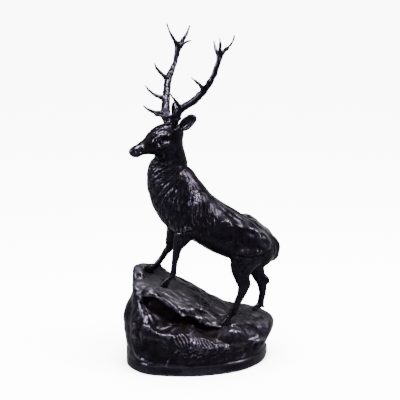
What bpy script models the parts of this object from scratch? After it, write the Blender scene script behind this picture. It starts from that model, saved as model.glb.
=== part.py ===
"""Cast bronze stag with its forefeet up on a rocky base.

The animal faces -X, its left side is toward -Y and +Z is up. The origin is at the centre of the underside
of the base. All stations are laid out in squares of a drawing grid that is SQUARES_TALL squares high. Each
shape is a signed distance on a grid of points: lofts and ellipsoids are blended into one another as a
modeller adds clay, then the surface of the whole is taken off, combed and carved, and thinned.
"""

import math

import bmesh
import bpy
import numpy as np

HEIGHT = 0.80
SQUARES_TALL = 339.0
SQUARE = HEIGHT / SQUARES_TALL

SEAT_GAP = 0.0003
HOOF_SINK = 1.2
RIM_HEIGHT = 10.0
RIM_STEP = 0.035
LIP_THICK = 3.0
HOLLOW_OUT = 0.72
MANE_LOCK = (20.0, 4.2, 1.9)
STAG_STEP = 0.95
ROCK_STEP = 1.7
STAG_TRIANGLES = 6900
ROCK_TRIANGLES = 2900
EMPTY = 9.0
SEED = 11

ACROSS = (0.0, 0.99, 0.14)
LEVEL = (0.0, 1.0, 0.0)
HEAD_ACROSS = (-0.47, 0.88, 0.07)

# Each row of a loft: centre x, y, z, half the depth in the plane of the path, half the width across it.
TRUNK = [
    (74.5, 4, 110, 7, 8),
    (65, 4, 116, 14, 14.5),
    (53, 3, 123.8, 19.8, 19.5),
    (39.5, 1, 128.6, 22.6, 22),
    (25.5, 0, 136.2, 24.4, 24),
    (12.5, 0, 143.8, 24.3, 24),
    (0, 0, 152, 25, 23),
    (-13, 0, 161, 26.5, 21),
    (-23, 0, 169, 21, 16),
]
TAIL = [
    (72, 4, 125, 5.5, 6),
    (77.3, 4, 119.5, 5.8, 5.2),
    (78, 4.5, 113, 4.6, 4.4),
    (75.6, 4.5, 107, 3.2, 3.6),
]
NECK = [
    (-8, 0, 154, 19, 18),
    (-15.5, -0.5, 170.5, 23, 18.5),
    (-25, -1, 183.5, 24.4, 17),
    (-29.5, -2, 194, 19.6, 14.8),
    (-27.7, -3, 203.5, 17.7, 13),
    (-27.5, -4, 213.5, 15.1, 11.8),
    (-26.5, -5, 222.5, 12, 10.6),
    (-25.5, -5, 231.5, 9.6, 9.4),
]
HEAD = [
    (-23, -4, 236.5, 9, 9.2),
    (-29.5, -7, 232.5, 14.2, 10.8),
    (-36.8, -11, 229.2, 15, 10),
    (-42.3, -14, 227.2, 12.6, 9),
    (-47, -16.5, 225.5, 9.3, 7.2),
    (-52, -19, 223.8, 7.4, 6),
    (-56.5, -21.5, 222, 6.2, 5.6),
    (-60.3, -24, 220.4, 5.9, 5.6),
    (-62.6, -25.2, 220.4, 4.2, 4.6),
]
NEAR_FORELEG = [
    (-10, -12, 146, 14, 8),
    (-14.5, -12.5, 133, 9, 7),
    (-19, -13, 124, 5.6, 5),
    (-21.3, -13.5, 117, 4, 4),
    (-22, -14, 113, 3.9, 4),
    (-23.3, -14, 106.5, 3.1, 3.1),
    (-24.3, -14, 99.5, 3, 3),
    (-25, -14, 93.5, 3.2, 3.2),
    (-28.5, -14, 89.5, 2.5, 2.7),
    (-31.5, -14, 86.5, 2.8, 3.2),
]
FAR_FORELEG = [
    (-20, 12, 140, 11, 8),
    (-26, 12, 128.5, 6.2, 6),
    (-28.2, 12, 121.5, 5.2, 4.8),
    (-29, 12, 115, 4.3, 4.1),
    (-32.5, 12, 110.5, 3.6, 3.6),
    (-36, 12, 105, 3.1, 3.1),
    (-39.8, 12, 99.5, 3.1, 3.1),
    (-42, 12, 97, 3.2, 3.2),
    (-45, 12, 93.8, 2.5, 2.7),
    (-48, 12, 91.5, 2.8, 3.2),
]
NEAR_HINDLEG = [
    (56, -9, 128.5, 17, 11),
    (49.5, -12, 114.5, 15.5, 9.5),
    (44, -13, 102, 12, 7.8),
    (43.8, -14, 92, 8.4, 5.8),
    (45.8, -14, 83.5, 6.4, 4.7),
    (45.2, -14, 77.5, 5.2, 4),
    (42.5, -14, 70, 4.1, 3.5),
    (39, -14, 62.5, 3.7, 3.2),
    (35.5, -14, 55, 3.9, 3.5),
    (32, -14.5, 50, 3, 3),
    (29, -15, 46.5, 3.1, 3.3),
]
FAR_HINDLEG = [
    (64, 12, 118, 13, 9.5),
    (61, 13, 105, 11.5, 8.6),
    (59.2, 14, 94, 9.2, 7),
    (62, 14, 85.5, 7, 5.2),
    (65.6, 14, 77.5, 5.7, 4.4),
    (66.4, 14, 71.5, 4.6, 3.8),
    (66.6, 14, 65, 3.7, 3.4),
    (65.4, 14, 58.5, 3.4, 3.2),
    (64.5, 14, 53.5, 3.5, 3.3),
    (61.5, 13.5, 50.5, 2.8, 2.9),
    (58.8, 13, 48.8, 3, 3.2),
]
# Ankle and toe of each cloven hoof.
HOOVES = [
    ((-31, -14, 88), (-37, -14.4, 83.4)),
    ((-47.6, 12, 93), (-53.4, 11.8, 90.6)),
    ((29.5, -15, 47), (23.5, -15.4, 40.6)),
    ((59, 13, 49), (52.6, 12.8, 45.6)),
]
DEWCLAWS = [(-23.2, -14, 90.2), (-39, 12, 95.4), (38.2, -14, 53.2), (67.4, 14, 51)]

# Antler stations: x, y, z, radius. The first of each side is the beam, the rest are its tines.
FAR_ANTLER = [
    [(-28.6, 0, 243, 4.4), (-31.4, 3, 251, 4.4), (-32, 8, 258.5, 4.3), (-31.7, 17, 268, 3.9),
     (-30.8, 26, 278, 3.7), (-29.5, 32, 285.5, 3.5), (-25.6, 37, 294.5, 2.8), (-22.6, 41, 302.5, 2.5),
     (-21, 44, 311.5, 2.9), (-20.5, 46, 318, 3.2)],
    [(-30, 6, 255, 2.6), (-37.5, 2, 254.8, 2.1), (-44, -2, 256.2, 1.8), (-48.8, -5, 258.8, 1.4),
     (-53, -7, 262.8, 0.8)],
    [(-30, 16, 267, 2.6), (-35.8, 14, 268.2, 2.3), (-41.4, 14, 270.2, 1.9), (-47, 15, 273.8, 1.4),
     (-52.6, 16, 280, 0.8)],
    [(-29.5, 31, 284.5, 2.5), (-34, 29, 287.6, 2.3), (-38, 27, 292, 1.8), (-41.5, 25, 296, 1.4),
     (-43, 24, 301, 0.8)],
    [(-21, 46, 316, 2.4), (-24.5, 44, 323.5, 1.7), (-28, 42, 329.5, 1.3), (-31, 40, 338.4, 0.8)],
    [(-19.5, 46, 316, 2.6), (-14.5, 48, 323.5, 1.8), (-10.5, 50, 330, 1.3), (-8.5, 51, 336, 0.8)],
    [(-19.5, 45, 313, 2), (-14.5, 42, 319, 1.5), (-11, 39, 321, 1.1), (-7, 36, 322.5, 0.8)],
]
NEAR_ANTLER = [
    [(-25, -8, 242, 4.2), (-21, -10, 252, 4.2), (-18.5, -13, 258, 4), (-13, -17, 263.3, 3.6),
     (-5.2, -21, 268.3, 3.5), (2.2, -24, 275.3, 3.5), (7.8, -26, 282.5, 3.3), (13.2, -27, 290.7, 2.9),
     (17.2, -26.5, 300.5, 2.7), (19.8, -25, 309, 2.8), (21, -23, 315, 3.1)],
    [(-22, -11, 254, 2.4), (-29, -14, 253, 1.9), (-36, -18, 254.5, 1.6), (-40.5, -20, 256, 1.3),
     (-43, -22, 259, 0.8)],
    [(-17, -14, 262, 2.4), (-20, -19, 267, 1.8), (-23, -24, 271.5, 1.3), (-26, -28, 276.5, 0.8)],
    [(5, -25.5, 280, 2.4), (2.5, -29, 285, 1.8), (-1.5, -32, 289, 1.3), (-6, -35, 293, 0.8)],
    [(19, -23, 313, 2), (16.5, -19, 320, 1.5), (15, -15, 326, 0.8)],
    [(20.5, -24, 313, 2), (21, -28, 321.5, 1.5), (20.5, -32, 329.5, 0.8)],
    [(21, -22, 313, 2.4), (27.5, -21, 319, 1.7), (32, -20, 324, 1.2), (34.5, -19, 331, 0.8)],
]
# Root, tip, width and hollow side of each ear.
NEAR_EAR = ((-19.5, -13, 240), (-3, -23, 254.2), 6.1, (-0.35, -0.9, 0.1))
FAR_EAR = ((-22.5, 3, 244), (-24, 14, 262.5), 4.6, (-0.8, -0.5, 0.1))

# Outline of the foot of the rock, from its right end round the front to the back.
FOOT = [
    (72, 12), (68, -6), (60, -21), (44, -37), (23, -47), (2, -52), (-20, -53), (-43, -50), (-56, -44),
    (-66, -33), (-72, -20), (-73, -6), (-70, 10), (-62, 24), (-48, 36), (-28, 44), (-5, 48), (18, 49),
    (40, 46), (56, 39), (66, 28),
]
FOOT_CENTRE = (-1.0, -2.0)
# How far the sides stand out from the foot at each height, as a share of the foot's own reach.
RIM_IN = 1 - RIM_STEP
FLARE_LEFT = [
    (-9, 1.0), (RIM_HEIGHT, 1.0), (20, 0.995), (30, 1.01), (48, 1.03), (62, 0.975), (76, 0.9), (104, 0.9),
]
FLARE_MIDDLE = [
    (-9, 1.0), (RIM_HEIGHT, 1.0), (RIM_HEIGHT + 2.5, RIM_IN), (16, 0.97), (30, 1.0), (48, 1.02),
    (62, 0.97), (76, 0.895), (104, 0.905),
]
FLARE_RIGHT = [
    (-9, 1.0), (RIM_HEIGHT, 1.0), (RIM_HEIGHT + 1.5, 0.98), (16, 1.0), (30, 1.09), (45, 1.1), (62, 1.0),
    (80, 0.9), (104, 0.8),
]
# Height of the ground by column from left to right and by row from the front to the back.
GROUND_X = (-78, -68, -58, -48, -38, -24, -8, 8, 24, 40, 58, 78)
GROUND_Y = (-58, -48, -38, -28, -15, -2, 10, 20, 32, 50)
GROUND = [
    (24, 34, 44, 48, 44, 36, 33, 29, 25, 20, 14, 10),
    (38, 50, 60, 66, 62, 50, 38, 33, 29, 24, 18, 12),
    (48, 66, 76, 82.5, 78, 66, 52, 38, 33, 29, 23, 16),
    (56, 76, 83, 85, 82, 71.5, 62, 42, 36, 34, 29, 22),
    (66, 86, 89, 86, 81.5, 75.5, 65.5, 50, 42, 42, 37, 29),
    (76, 98, 95, 88, 83, 77.5, 68.5, 56.5, 47.5, 45, 43, 37),
    (80, 96, 90, 88, 84.5, 79, 70.5, 60.5, 52, 47.4, 47.5, 41),
    (78, 92, 92, 91, 86.5, 79.8, 71.8, 61.6, 54, 48.6, 48, 42),
    (66, 82, 90, 92, 86.5, 78.5, 70, 60, 53, 48, 46, 37),
    (46, 58, 72, 76, 72, 64, 56, 49, 43, 39, 35, 29),
]
# The front lip of the ramp, from the pillar down to the right, and how high and deep the hollow under it is.
LIP = [
    (-54, -31, 80.5, 5, 8), (-48, -35, 82.5, 10, 11), (-43, -38, 82, 14, 13), (-34.5, -38, 76, 14.5, 15),
    (-25.5, -37, 68.5, 11.5, 15), (-19, -35, 61.5, 8, 15), (-13, -33, 60.5, 8, 15), (-8, -31, 61, 8, 15),
    (-3, -29, 57, 7, 15), (1, -27, 51.5, 5.5, 14), (7, -24, 47.5, 5, 14), (14, -22, 46, 4.5, 12),
    (24, -20, 44, 3.5, 9), (34, -17, 43, 2.5, 6),
]
# The crown of rock behind the forefeet and the two spurs on the left, laid on before the hollow is cut.
CROWN = [
    (-59, -8, 92, 5, 5), (-59.5, -2, 94.5, 4.8, 4.8), (-59, 6, 94.5, 4.6, 4.6), (-56, 15, 92.5, 4.6, 4.6),
    (-51, 22, 90, 4.6, 4.6), (-45, 28, 86.5, 4.6, 4.6), (-38, 32, 82.5, 4, 4),
]
SPURS = [
    [(-59, -18, 82, 4, 4), (-58, -23, 74, 5, 6), (-56.5, -28, 66, 6, 7), (-53, -33, 57, 7, 8),
     (-50, -38, 49, 6, 7)],
    [(-64, -14, 58, 8, 8), (-65, -17, 45, 9, 9), (-63, -22, 33, 8, 9), (-61, -26, 24, 5, 6)],
]
# Soft bays carved from the foot of the rock, then the boulders.
BAYS = [
    [(-52, -50, 27, 10, 6), (-44, -54, 25, 11, 8), (-34, -57, 22, 8, 7), (-20, -59, 19, 4, 5)],
    [(8, -57, 21, 4, 7), (24, -54, 21, 7, 8), (38, -48, 22, 7, 8), (50, -37, 22, 6, 7), (60, -27, 21, 3, 4)],
]
BOULDERS = [
    ((-49, -39, 52), (7, 6, 6), (1, 0, 0.2)),
    ((-19, -37, 33), (19, 11, 11.5), (1, 0, -0.1)),
    ((-3, -40, 30), (20, 9, 10), (1, 0, -0.2)),
    ((33, -31, 34), (15, 10, 10), (1, 0.15, -0.1)),
    ((64, 3, 32), (10, 9, 9), (0.5, 0.6, 0)),
    ((-9, -29, 59.5), (5, 3.4, 3.4), (1, 0, 0.2)),
    ((0, -26, 51.5), (4.5, 3, 3.2), (1, 0, -0.7)),
]
# Folds on both sides of the body: path (x, z), half width and height. Under zero is a groove.
FOLDS = {
    "hip bone": ([(52.7, 141.5), (61.2, 136.5), (63, 130), (65.5, 124), (70, 120), (75, 119)], 2.6, 1.3),
    "last rib": ([(29.4, 149.8), (33, 142), (34.4, 133), (32.2, 123)], 6.0, 1.4),
    "behind the ribs": ([(38.6, 145.5), (40.5, 138), (40.2, 130), (37, 121)], 3.0, -0.7),
    "flank fold": ([(35.2, 114.5), (41.4, 116.4), (48.8, 117.8), (56.3, 117), (66.6, 117.8)], 2.6, 1.2),
    "under the fold": ([(35.5, 111.5), (50, 111), (63.8, 111.6)], 2.2, -1.2),
    "shoulder blade": ([(-7, 180), (-1, 170), (0, 156), (-4, 147)], 4.0, 0.8),
    "behind the shoulder": ([(7, 166), (9, 157), (7, 147), (1, 140)], 4.0, -0.8),
}


def unit(vector):
    """The vector at length one."""
    vector = np.asarray(vector, float)
    return vector / np.linalg.norm(vector)


def eased(rows, steps):
    """The rows with more rows between them on a Catmull-Rom curve."""
    rows = np.array(rows, float)
    ends = np.vstack([2 * rows[0] - rows[1], rows, 2 * rows[-1] - rows[-2]])
    out = []
    for a, b, c, d in zip(ends, ends[1:], ends[2:], ends[3:]):
        for t in np.arange(steps) / steps:
            out.append(0.5 * (2 * b + (c - a) * t + (2 * a - 5 * b + 4 * c - d) * t**2
                              + (3 * b - 3 * c + d - a) * t**3))
    out.append(rows[-1])
    return np.array(out)


class Clay:
    """Signed distances in squares on a grid of points. Under zero is metal."""

    def __init__(self, low, high, step):
        self.step = step
        self.low = np.array(low, float)
        counts = np.ceil((np.array(high, float) - self.low) / step).astype(int) + 1
        self.axes = [self.low[i] + step * np.arange(counts[i]) for i in range(3)]
        self.values = np.full(counts, EMPTY, np.float32)

    def window(self, low, high):
        """The slices of the grid between two corners, and its x, y and z there."""
        cut = []
        for axis, a, b in zip(self.axes, low, high):
            cut.append(slice(np.searchsorted(axis, a), np.searchsorted(axis, b, side="right")))
        x, y, z = (axis[c].astype(np.float32) for axis, c in zip(self.axes, cut))
        return tuple(cut), (x[:, None, None], y[None, :, None], z[None, None, :])

    def add(self, cut, other, radius):
        """Adds a shape, with a fillet of this radius where it meets what is there."""
        here = self.values[cut]
        if radius > 0:
            near = np.maximum(radius - np.abs(here - other), 0)
            self.values[cut] = np.minimum(here, other) - near * near / (4 * radius)
        else:
            self.values[cut] = np.minimum(here, other)

    def carve(self, cut, other, radius):
        """Takes a shape away, with a rounded brim of this radius."""
        here = self.values[cut]
        near = np.maximum(radius - np.abs(here + other), 0)
        self.values[cut] = np.maximum(here, -other) + near * near / (4 * radius)

    def loft(self, rows, across, radius, egg=0.0, steps=4, away=False):
        """A body through elliptical sections square to the path. Egg above zero narrows its upper side."""
        rows = eased(rows, steps)
        reach = rows[:, 3:].max() + EMPTY
        whole, (xs, ys, zs) = self.window(rows[:, :3].min(axis=0) - reach, rows[:, :3].max(axis=0) + reach)
        xs, ys, zs = xs.ravel(), ys.ravel(), zs.ravel()
        shape = np.full((len(xs), len(ys), len(zs)), EMPTY, np.float32)
        for first, last in zip(rows, rows[1:]):
            reach = max(first[3:].max(), last[3:].max()) + EMPTY
            low = np.minimum(first[:3], last[:3]) - reach
            high = np.maximum(first[:3], last[:3]) + reach
            cut = tuple(slice(*np.searchsorted(axis, (a, b))) for axis, a, b in zip((xs, ys, zs), low, high))
            x, y, z = xs[cut[0], None, None], ys[None, cut[1], None], zs[None, None, cut[2]]
            along = last[:3] - first[:3]
            length = np.linalg.norm(along)
            along = along / length
            side = unit(np.array(across) - along * np.dot(across, along))
            up = np.cross(side, along)
            x, y, z = x - first[0], y - first[1], z - first[2]
            run = x * along[0] + y * along[1] + z * along[2]
            share = np.clip(run / length, 0, 1)
            over = run - share * length
            v = x * up[0] + y * up[1] + z * up[2]
            u = x * side[0] + y * side[1] + z * side[2]
            deep = first[3] + (last[3] - first[3]) * share
            wide = first[4] + (last[4] - first[4]) * share
            if egg:
                wide = wide * (1 - egg * np.clip(v * np.sign(up[2]) / deep, -1, 1))
            square = (v / deep) ** 2 + (u / wide) ** 2 + (over / np.minimum(deep, wide)) ** 2
            reached = np.sqrt(np.maximum(square, 1e-6))
            distance = np.sqrt(u * u + v * v + over * over) * (1 - 1 / reached)
            distance = np.maximum(distance, -np.minimum(deep, wide))
            shape[cut] = np.minimum(shape[cut], distance)
        if away:
            self.carve(whole, shape, radius)
        else:
            self.add(whole, shape, radius)

    def rod(self, rows, radius):
        """A loft with round sections."""
        self.loft([row + (row[3],) for row in rows], LEVEL, radius)

    def blob(self, centre, radii, axis, across, radius, away=False):
        """An ellipsoid whose first radius lies along the axis and whose last lies across."""
        along = unit(axis)
        side = unit(np.array(across) - along * np.dot(across, along))
        up = np.cross(side, along)
        reach = max(radii) + EMPTY
        cut, (x, y, z) = self.window(np.array(centre) - reach, np.array(centre) + reach)
        x, y, z = x - centre[0], y - centre[1], z - centre[2]
        square = 1e-6
        length = 1e-6
        for direction, size in zip((along, up, side), radii):
            part = x * direction[0] + y * direction[1] + z * direction[2]
            square = square + (part / size) ** 2
            length = length + part**2
        distance = np.sqrt(length) * (1 - 1 / np.sqrt(square))
        distance = np.maximum(distance, -min(radii))
        if away:
            self.carve(cut, distance, radius)
        else:
            self.add(cut, distance, radius)

    def join_corners(self):
        """Fills grid squares whose metal only touches corner to corner, so that no edge is pinched."""
        for _ in range(6):
            found = 0
            for one, two in ((0, 1), (1, 2), (0, 2)):
                part = {}
                for i in (0, 1):
                    for j in (0, 1):
                        pick = [slice(None)] * 3
                        pick[one] = slice(i, self.values.shape[one] - 1 + i)
                        pick[two] = slice(j, self.values.shape[two] - 1 + j)
                        part[i, j] = self.values[tuple(pick)]
                a, b, c, d = (part[key] < 0 for key in ((0, 0), (1, 0), (0, 1), (1, 1)))
                pinched = (a == d) & (b == c) & (a != b)
                found += pinched.sum()
                for key, metal in (((0, 0), a), ((1, 0), b), ((0, 1), c), ((1, 1), d)):
                    part[key][pinched & ~metal] = -0.02
            if not found:
                break

    def surface(self):
        """The zero level: a point in each crossed cell and a four-sided face round each crossed edge."""
        self.join_corners()
        values = self.values
        inside = values < 0
        corners = [(i, j, k) for i in (0, 1) for j in (0, 1) for k in (0, 1)]
        shape = np.array(values.shape) - 1
        total = np.zeros(shape, np.int8)
        for i, j, k in corners:
            total += inside[i : i + shape[0], j : j + shape[1], k : k + shape[2]]
        cells = np.argwhere((total > 0) & (total < 8))
        at = {c: values[cells[:, 0] + c[0], cells[:, 1] + c[1], cells[:, 2] + c[2]] for c in corners}
        place = np.zeros((len(cells), 3))
        crossings = np.zeros(len(cells))
        for first in corners:
            for axis in range(3):
                if first[axis]:
                    continue
                second = tuple(1 if n == axis else c for n, c in enumerate(first))
                a, b = at[first], at[second]
                crossed = (a < 0) != (b < 0)
                share = np.where(crossed, a / np.where(crossed, a - b, 1), 0)
                spot = np.array(first, float) + np.eye(3)[axis] * share[:, None]
                place += spot * crossed[:, None]
                crossings += crossed
        points = self.low + (cells + place / crossings[:, None]) * self.step
        number = np.full(shape, -1, np.int64)
        number[tuple(cells.T)] = np.arange(len(cells))
        faces = []
        for axis in range(3):
            low = [slice(None)] * 3
            high = [slice(None)] * 3
            low[axis], high[axis] = slice(None, -1), slice(1, None)
            a, b = inside[tuple(low)], inside[tuple(high)]
            edges = np.argwhere(a != b)
            leaves = a[tuple(edges.T)]
            one, two = (axis + 1) % 3, (axis + 2) % 3
            ring = []
            for back in ((1, 1), (0, 1), (0, 0), (1, 0)):
                cell = edges.copy()
                cell[:, one] -= back[0]
                cell[:, two] -= back[1]
                ring.append(number[tuple(cell.T)])
            ring = np.array(ring).T
            faces.append(np.where(leaves[:, None], ring, ring[:, ::-1]))
        return points, np.vstack(faces)


class Skin:
    """A surface that is relaxed and displaced along its normals."""

    def __init__(self, points, faces):
        self.points = points
        self.faces = faces
        ends = np.vstack([faces[:, [0, 1]], faces[:, [1, 2]], faces[:, [2, 3]], faces[:, [3, 0]]])
        self.edges = np.unique(np.sort(ends, axis=1), axis=0)
        self.degree = np.bincount(self.edges.ravel(), minlength=len(points))

    def relax(self, rounds, strength=0.5):
        """Draws each point toward the middle of its neighbours."""
        a, b = self.edges.T
        for _ in range(rounds):
            middle = np.zeros_like(self.points)
            for axis in range(3):
                near = self.points[:, axis]
                total = np.bincount(a, near[b], len(near)) + np.bincount(b, near[a], len(near))
                middle[:, axis] = total / self.degree
            self.points = self.points + (middle - self.points) * strength

    def normals(self):
        """A normal at each point."""
        corner = self.points[self.faces]
        flat = np.cross(corner[:, 2] - corner[:, 0], corner[:, 3] - corner[:, 1])
        total = np.zeros_like(self.points)
        for axis in range(3):
            for n in range(4):
                total[:, axis] += np.bincount(self.faces[:, n], flat[:, axis], len(self.points))
        return total / np.maximum(np.linalg.norm(total, axis=1), 1e-9)[:, None]

    def raise_by(self, amount):
        """Moves each point out by its own amount."""
        self.points = self.points + self.normals() * amount[:, None]

    def mesh(self, name):
        """The surface as a mesh object, in metres."""
        data = bpy.data.meshes.new(name)
        data.from_pydata((self.points * SQUARE).tolist(), [], self.faces.tolist())
        data.validate()
        data.shade_smooth()
        obj = bpy.data.objects.new(name, data)
        bpy.context.scene.collection.objects.link(obj)
        return obj


def ridges(skin, seeds, flow, size, chance):
    """Overlapping tapered locks: each is a ridge that rises from its root and ends in a lifted tip."""
    length, width, height = size
    normals = skin.normals()
    lift = np.zeros(len(skin.points))
    for seed in seeds:
        seed = np.array(seed, float)
        nearest = np.argmin(((skin.points - seed) ** 2).sum(axis=1))
        normal = normals[nearest]
        way = flow(skin.points[nearest])
        way = unit(way - normal * np.dot(way, normal))
        beside = np.cross(normal, way)
        long = length * chance.uniform(0.8, 1.2)
        wide = width * chance.uniform(0.8, 1.15)
        bend = wide * chance.uniform(-0.9, 0.9)
        away = skin.points - skin.points[nearest]
        along = away @ way / long
        depth = away @ normal
        near = (along > 0) & (along < 1) & (np.abs(depth) < 9) & (normals @ normal > 0.2)
        run = along[near]
        off = away[near] @ beside - bend * np.sin(math.pi * run)
        taper = wide * np.sqrt(np.clip(1 - run**3, 0.02, 1)) * np.clip(run * 4 + 0.35, 0, 1)
        crown = np.clip(1 - (off / taper) ** 2, 0, 1)
        rise = height * crown**0.8 * np.clip(run * 1.5 + 0.1, 0, 1) * np.clip((1 - run) * 7, 0, 1)
        lift[near] = np.maximum(lift[near], rise)
    skin.raise_by(lift)


def mane_flow(spot):
    """The way the hair lies: forward over the nape and throat, straight down on the breast and shoulder."""
    x, z = spot[0], spot[2]
    beyond = 0.67 * (z - 196) - 0.74 * (x + 8)
    lean = np.clip(20 + 4 * beyond, -8 - 0.6 * x, 66)
    upper = np.clip(beyond / 8, 0, 1)
    lean -= upper * (1.2 * np.clip(190 - z, 0, 20) + 26 * np.clip((x + 20) / 8, 0, 1))
    lean = math.radians(lean)
    return np.array([-math.sin(lean), -0.12 * math.sin(lean), -math.cos(lean)])


def mane_seeds(chance):
    """Roots of the locks, in rows down the neck and over the breast."""
    rows = eased([row[:5] for row in NECK[::-1]], 2)
    seeds = []
    for count, (x, y, z, deep, wide) in enumerate(rows):
        if z > 226 or z < 150:
            continue
        number = int(6.3 * (deep + wide) / 2 / (MANE_LOCK[1] * 1.75))
        for turn in range(number):
            angle = 2 * math.pi * (turn + 0.5 * (count % 2) + chance.uniform(-0.15, 0.15)) / number
            seed = (x - deep * math.cos(angle), y + wide * math.sin(angle), z + chance.uniform(-2, 2))
            if z < 176 and seed[0] > 2:
                continue
            seeds.append(seed)
    return seeds


def build_trunk(clay):
    """Barrel, rump, breast, neck and the muscles over the shoulders and the hips."""
    clay.loft(TRUNK, ACROSS, 0, egg=0.16)
    clay.loft(NECK, ACROSS, 8, egg=0.05)
    for side in (-1, 1):
        # Shoulder blade, upper arm, hip, thigh, stifle and buttock.
        clay.blob((-2.5, side * 15 - 1, 158.5 + side), (20, 10, 8), (-0.35, 0, -1), ACROSS, 7)
        clay.blob((-10, side * 15, 146 + side), (13, 9, 7.5), (0.75, 0, -1), ACROSS, 6)
        clay.blob((51 + 2 * side, side * 12 + 2, 136 + 3 * side), (12, 8, 9), (1, 0, -0.9), ACROSS, 8)
        clay.blob((55.5 + 2.5 * side, side * 13, 117), (21, 13, 9), (-0.75, 0, -1), ACROSS, 8)
        clay.blob((68.5 + side, side * 9 + 2, 110.5), (11, 7, 8), (-0.4, 0, -1), ACROSS, 6)
    clay.blob((-35.2, 0, 165.5), (14, 6.6, 9), (0.4, 0, -1), ACROSS, 6)
    # The croup and tail, then the flanks, hollow between the last rib and the hip bone.
    clay.blob((68, 4, 122.5), (12, 9, 14), (0.73, 0, -0.68), ACROSS, 6)
    clay.loft(TAIL, ACROSS, 2.6)
    for side in (-1, 1):
        clay.blob((49, 2 + side * 28.6, 134 + 2 * side), (17, 11, 11), (0.55, 0, -1), ACROSS, 7, away=True)


def build_legs(clay):
    """Four legs, their hocks and knees, cloven hooves and dewclaws."""
    for rows in (NEAR_FORELEG, FAR_FORELEG, NEAR_HINDLEG, FAR_HINDLEG):
        clay.loft(rows, LEVEL, 3)
    clay.blob((49.8, -14, 85), (5, 2.6, 2.4), (-0.35, 0, 1), LEVEL, 2.5)
    clay.blob((71, 14, 80), (5, 2.4, 2.4), (-0.45, 0, 1), LEVEL, 2.5)
    for ankle, toe in HOOVES:
        ankle, toe = np.array(ankle, float), np.array(toe, float)
        for side in (-1, 1):
            low = np.array([0, 0, -HOOF_SINK])
            spread = np.array([0, side, 0])
            rows = [
                (*(ankle + spread * 1.5), 2.6, 2.2),
                (*((ankle + toe) / 2 + spread * 2 + low / 2 + (1.2, 0, -1)), 4.4, 2.4),
                (*(toe + spread * 2.1 + low + (1.6, 0, 0.4)), 3.0, 2.1),
            ]
            clay.loft(rows, LEVEL, 0.8)
    for x, y, z in DEWCLAWS:
        for side in (-1, 1):
            clay.blob((x, y + side * 1.9, z), (2.2, 1.3, 1.2), (0.8, 0, -1), LEVEL, 0.8)


def build_head(clay):
    """Skull, brow, jaw, muzzle, ears and the eye sockets."""
    clay.loft(HEAD, HEAD_ACROSS, 5)
    forward = (-0.84, -0.42, -0.3)
    clay.blob((-33, -9, 223.5), (10, 7, 11), (-0.9, -0.45, 0.3), HEAD_ACROSS, 4)
    for side in (-1, 1):
        brow = np.array((-39.5, -12.5, 236.5)) + np.array(HEAD_ACROSS) * 8.6 * side
        eye = np.array((-40.5, -13, 232.8)) + np.array(HEAD_ACROSS) * 9.6 * side
        cheek = np.array((-37, -11.5, 227)) + np.array(HEAD_ACROSS) * 8.8 * side
        nose = np.array((-61.5, -24.5, 222.5)) + np.array(HEAD_ACROSS) * 6.2 * side
        clay.blob(eye, (4.2, 2.8, 2.6), forward, HEAD_ACROSS, 1.2, away=True)
        clay.blob(eye - np.array(HEAD_ACROSS) * 1.6 * side, (2.8, 2.2, 2.4), forward, HEAD_ACROSS, 0.5)
        clay.blob(brow, (5.5, 1.7, 2.2), forward, HEAD_ACROSS, 2)
        clay.blob(cheek, (9, 1.8, 2.4), forward, HEAD_ACROSS, 3)
        clay.blob(nose, (2.2, 1.5, 2), (-0.5, -0.3, 1), HEAD_ACROSS, 0.6, away=True)
    for root, tip, wide, open_side in (NEAR_EAR, FAR_EAR):
        root, tip = np.array(root, float), np.array(tip, float)
        way = tip - root
        clay.loft([(*root, 3, 3), (*(root + way * 0.3), 3, 3)], LEVEL, 2)
        middle = root + way * 0.56
        long = np.linalg.norm(way) * 0.5
        flat = np.cross(unit(way), unit(open_side))
        clay.blob(middle, (long, 2.9, wide), way, flat, 1.5)
        hollow = middle + unit(open_side) * 1.9 + unit(way) * 0.6
        clay.blob(hollow, (long * 0.82, 2.3, wide * 0.74), way, flat, 0.6, away=True)


def build_antlers(clay):
    """Both antlers with brow, bez and trez tines and a crown of three."""
    for antler in (FAR_ANTLER, NEAR_ANTLER):
        beam, tines = antler[0], antler[1:]
        clay.rod(beam, 2)
        x, y, z, _ = beam[1]
        for turn in range(9):
            angle = 2 * math.pi * turn / 9
            bead = (x + 3.9 * math.cos(angle), y + 3.9 * math.sin(angle), z - 1.5)
            clay.blob(bead, (1.4, 1.4, 1.4), (0, 0, 1), LEVEL, 0.6)
        for tine in tines:
            clay.rod(tine, 1.6)


def comb(skin, chance):
    """Locks of the mane, then the bones and folds that show on both sides of the body."""
    ridges(skin, mane_seeds(chance), mane_flow, MANE_LOCK, chance)
    spots = skin.points[:, [0, 2]]
    facing = np.clip(np.abs(skin.normals()[:, 1]) * 1.4, 0, 1)
    lift = np.zeros(len(spots))
    for path, width, height in FOLDS.values():
        nearest = np.full(len(spots), np.inf)
        for start, end in zip(path, path[1:]):
            start, along = np.array(start), np.subtract(end, start)
            share = np.clip((spots - start) @ along / (along @ along), 0, 1)
            gap = spots - start - share[:, None] * along
            nearest = np.minimum(nearest, (gap**2).sum(axis=1))
        lift += height * np.exp(-nearest / width**2)
    skin.raise_by(lift * facing)


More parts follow.
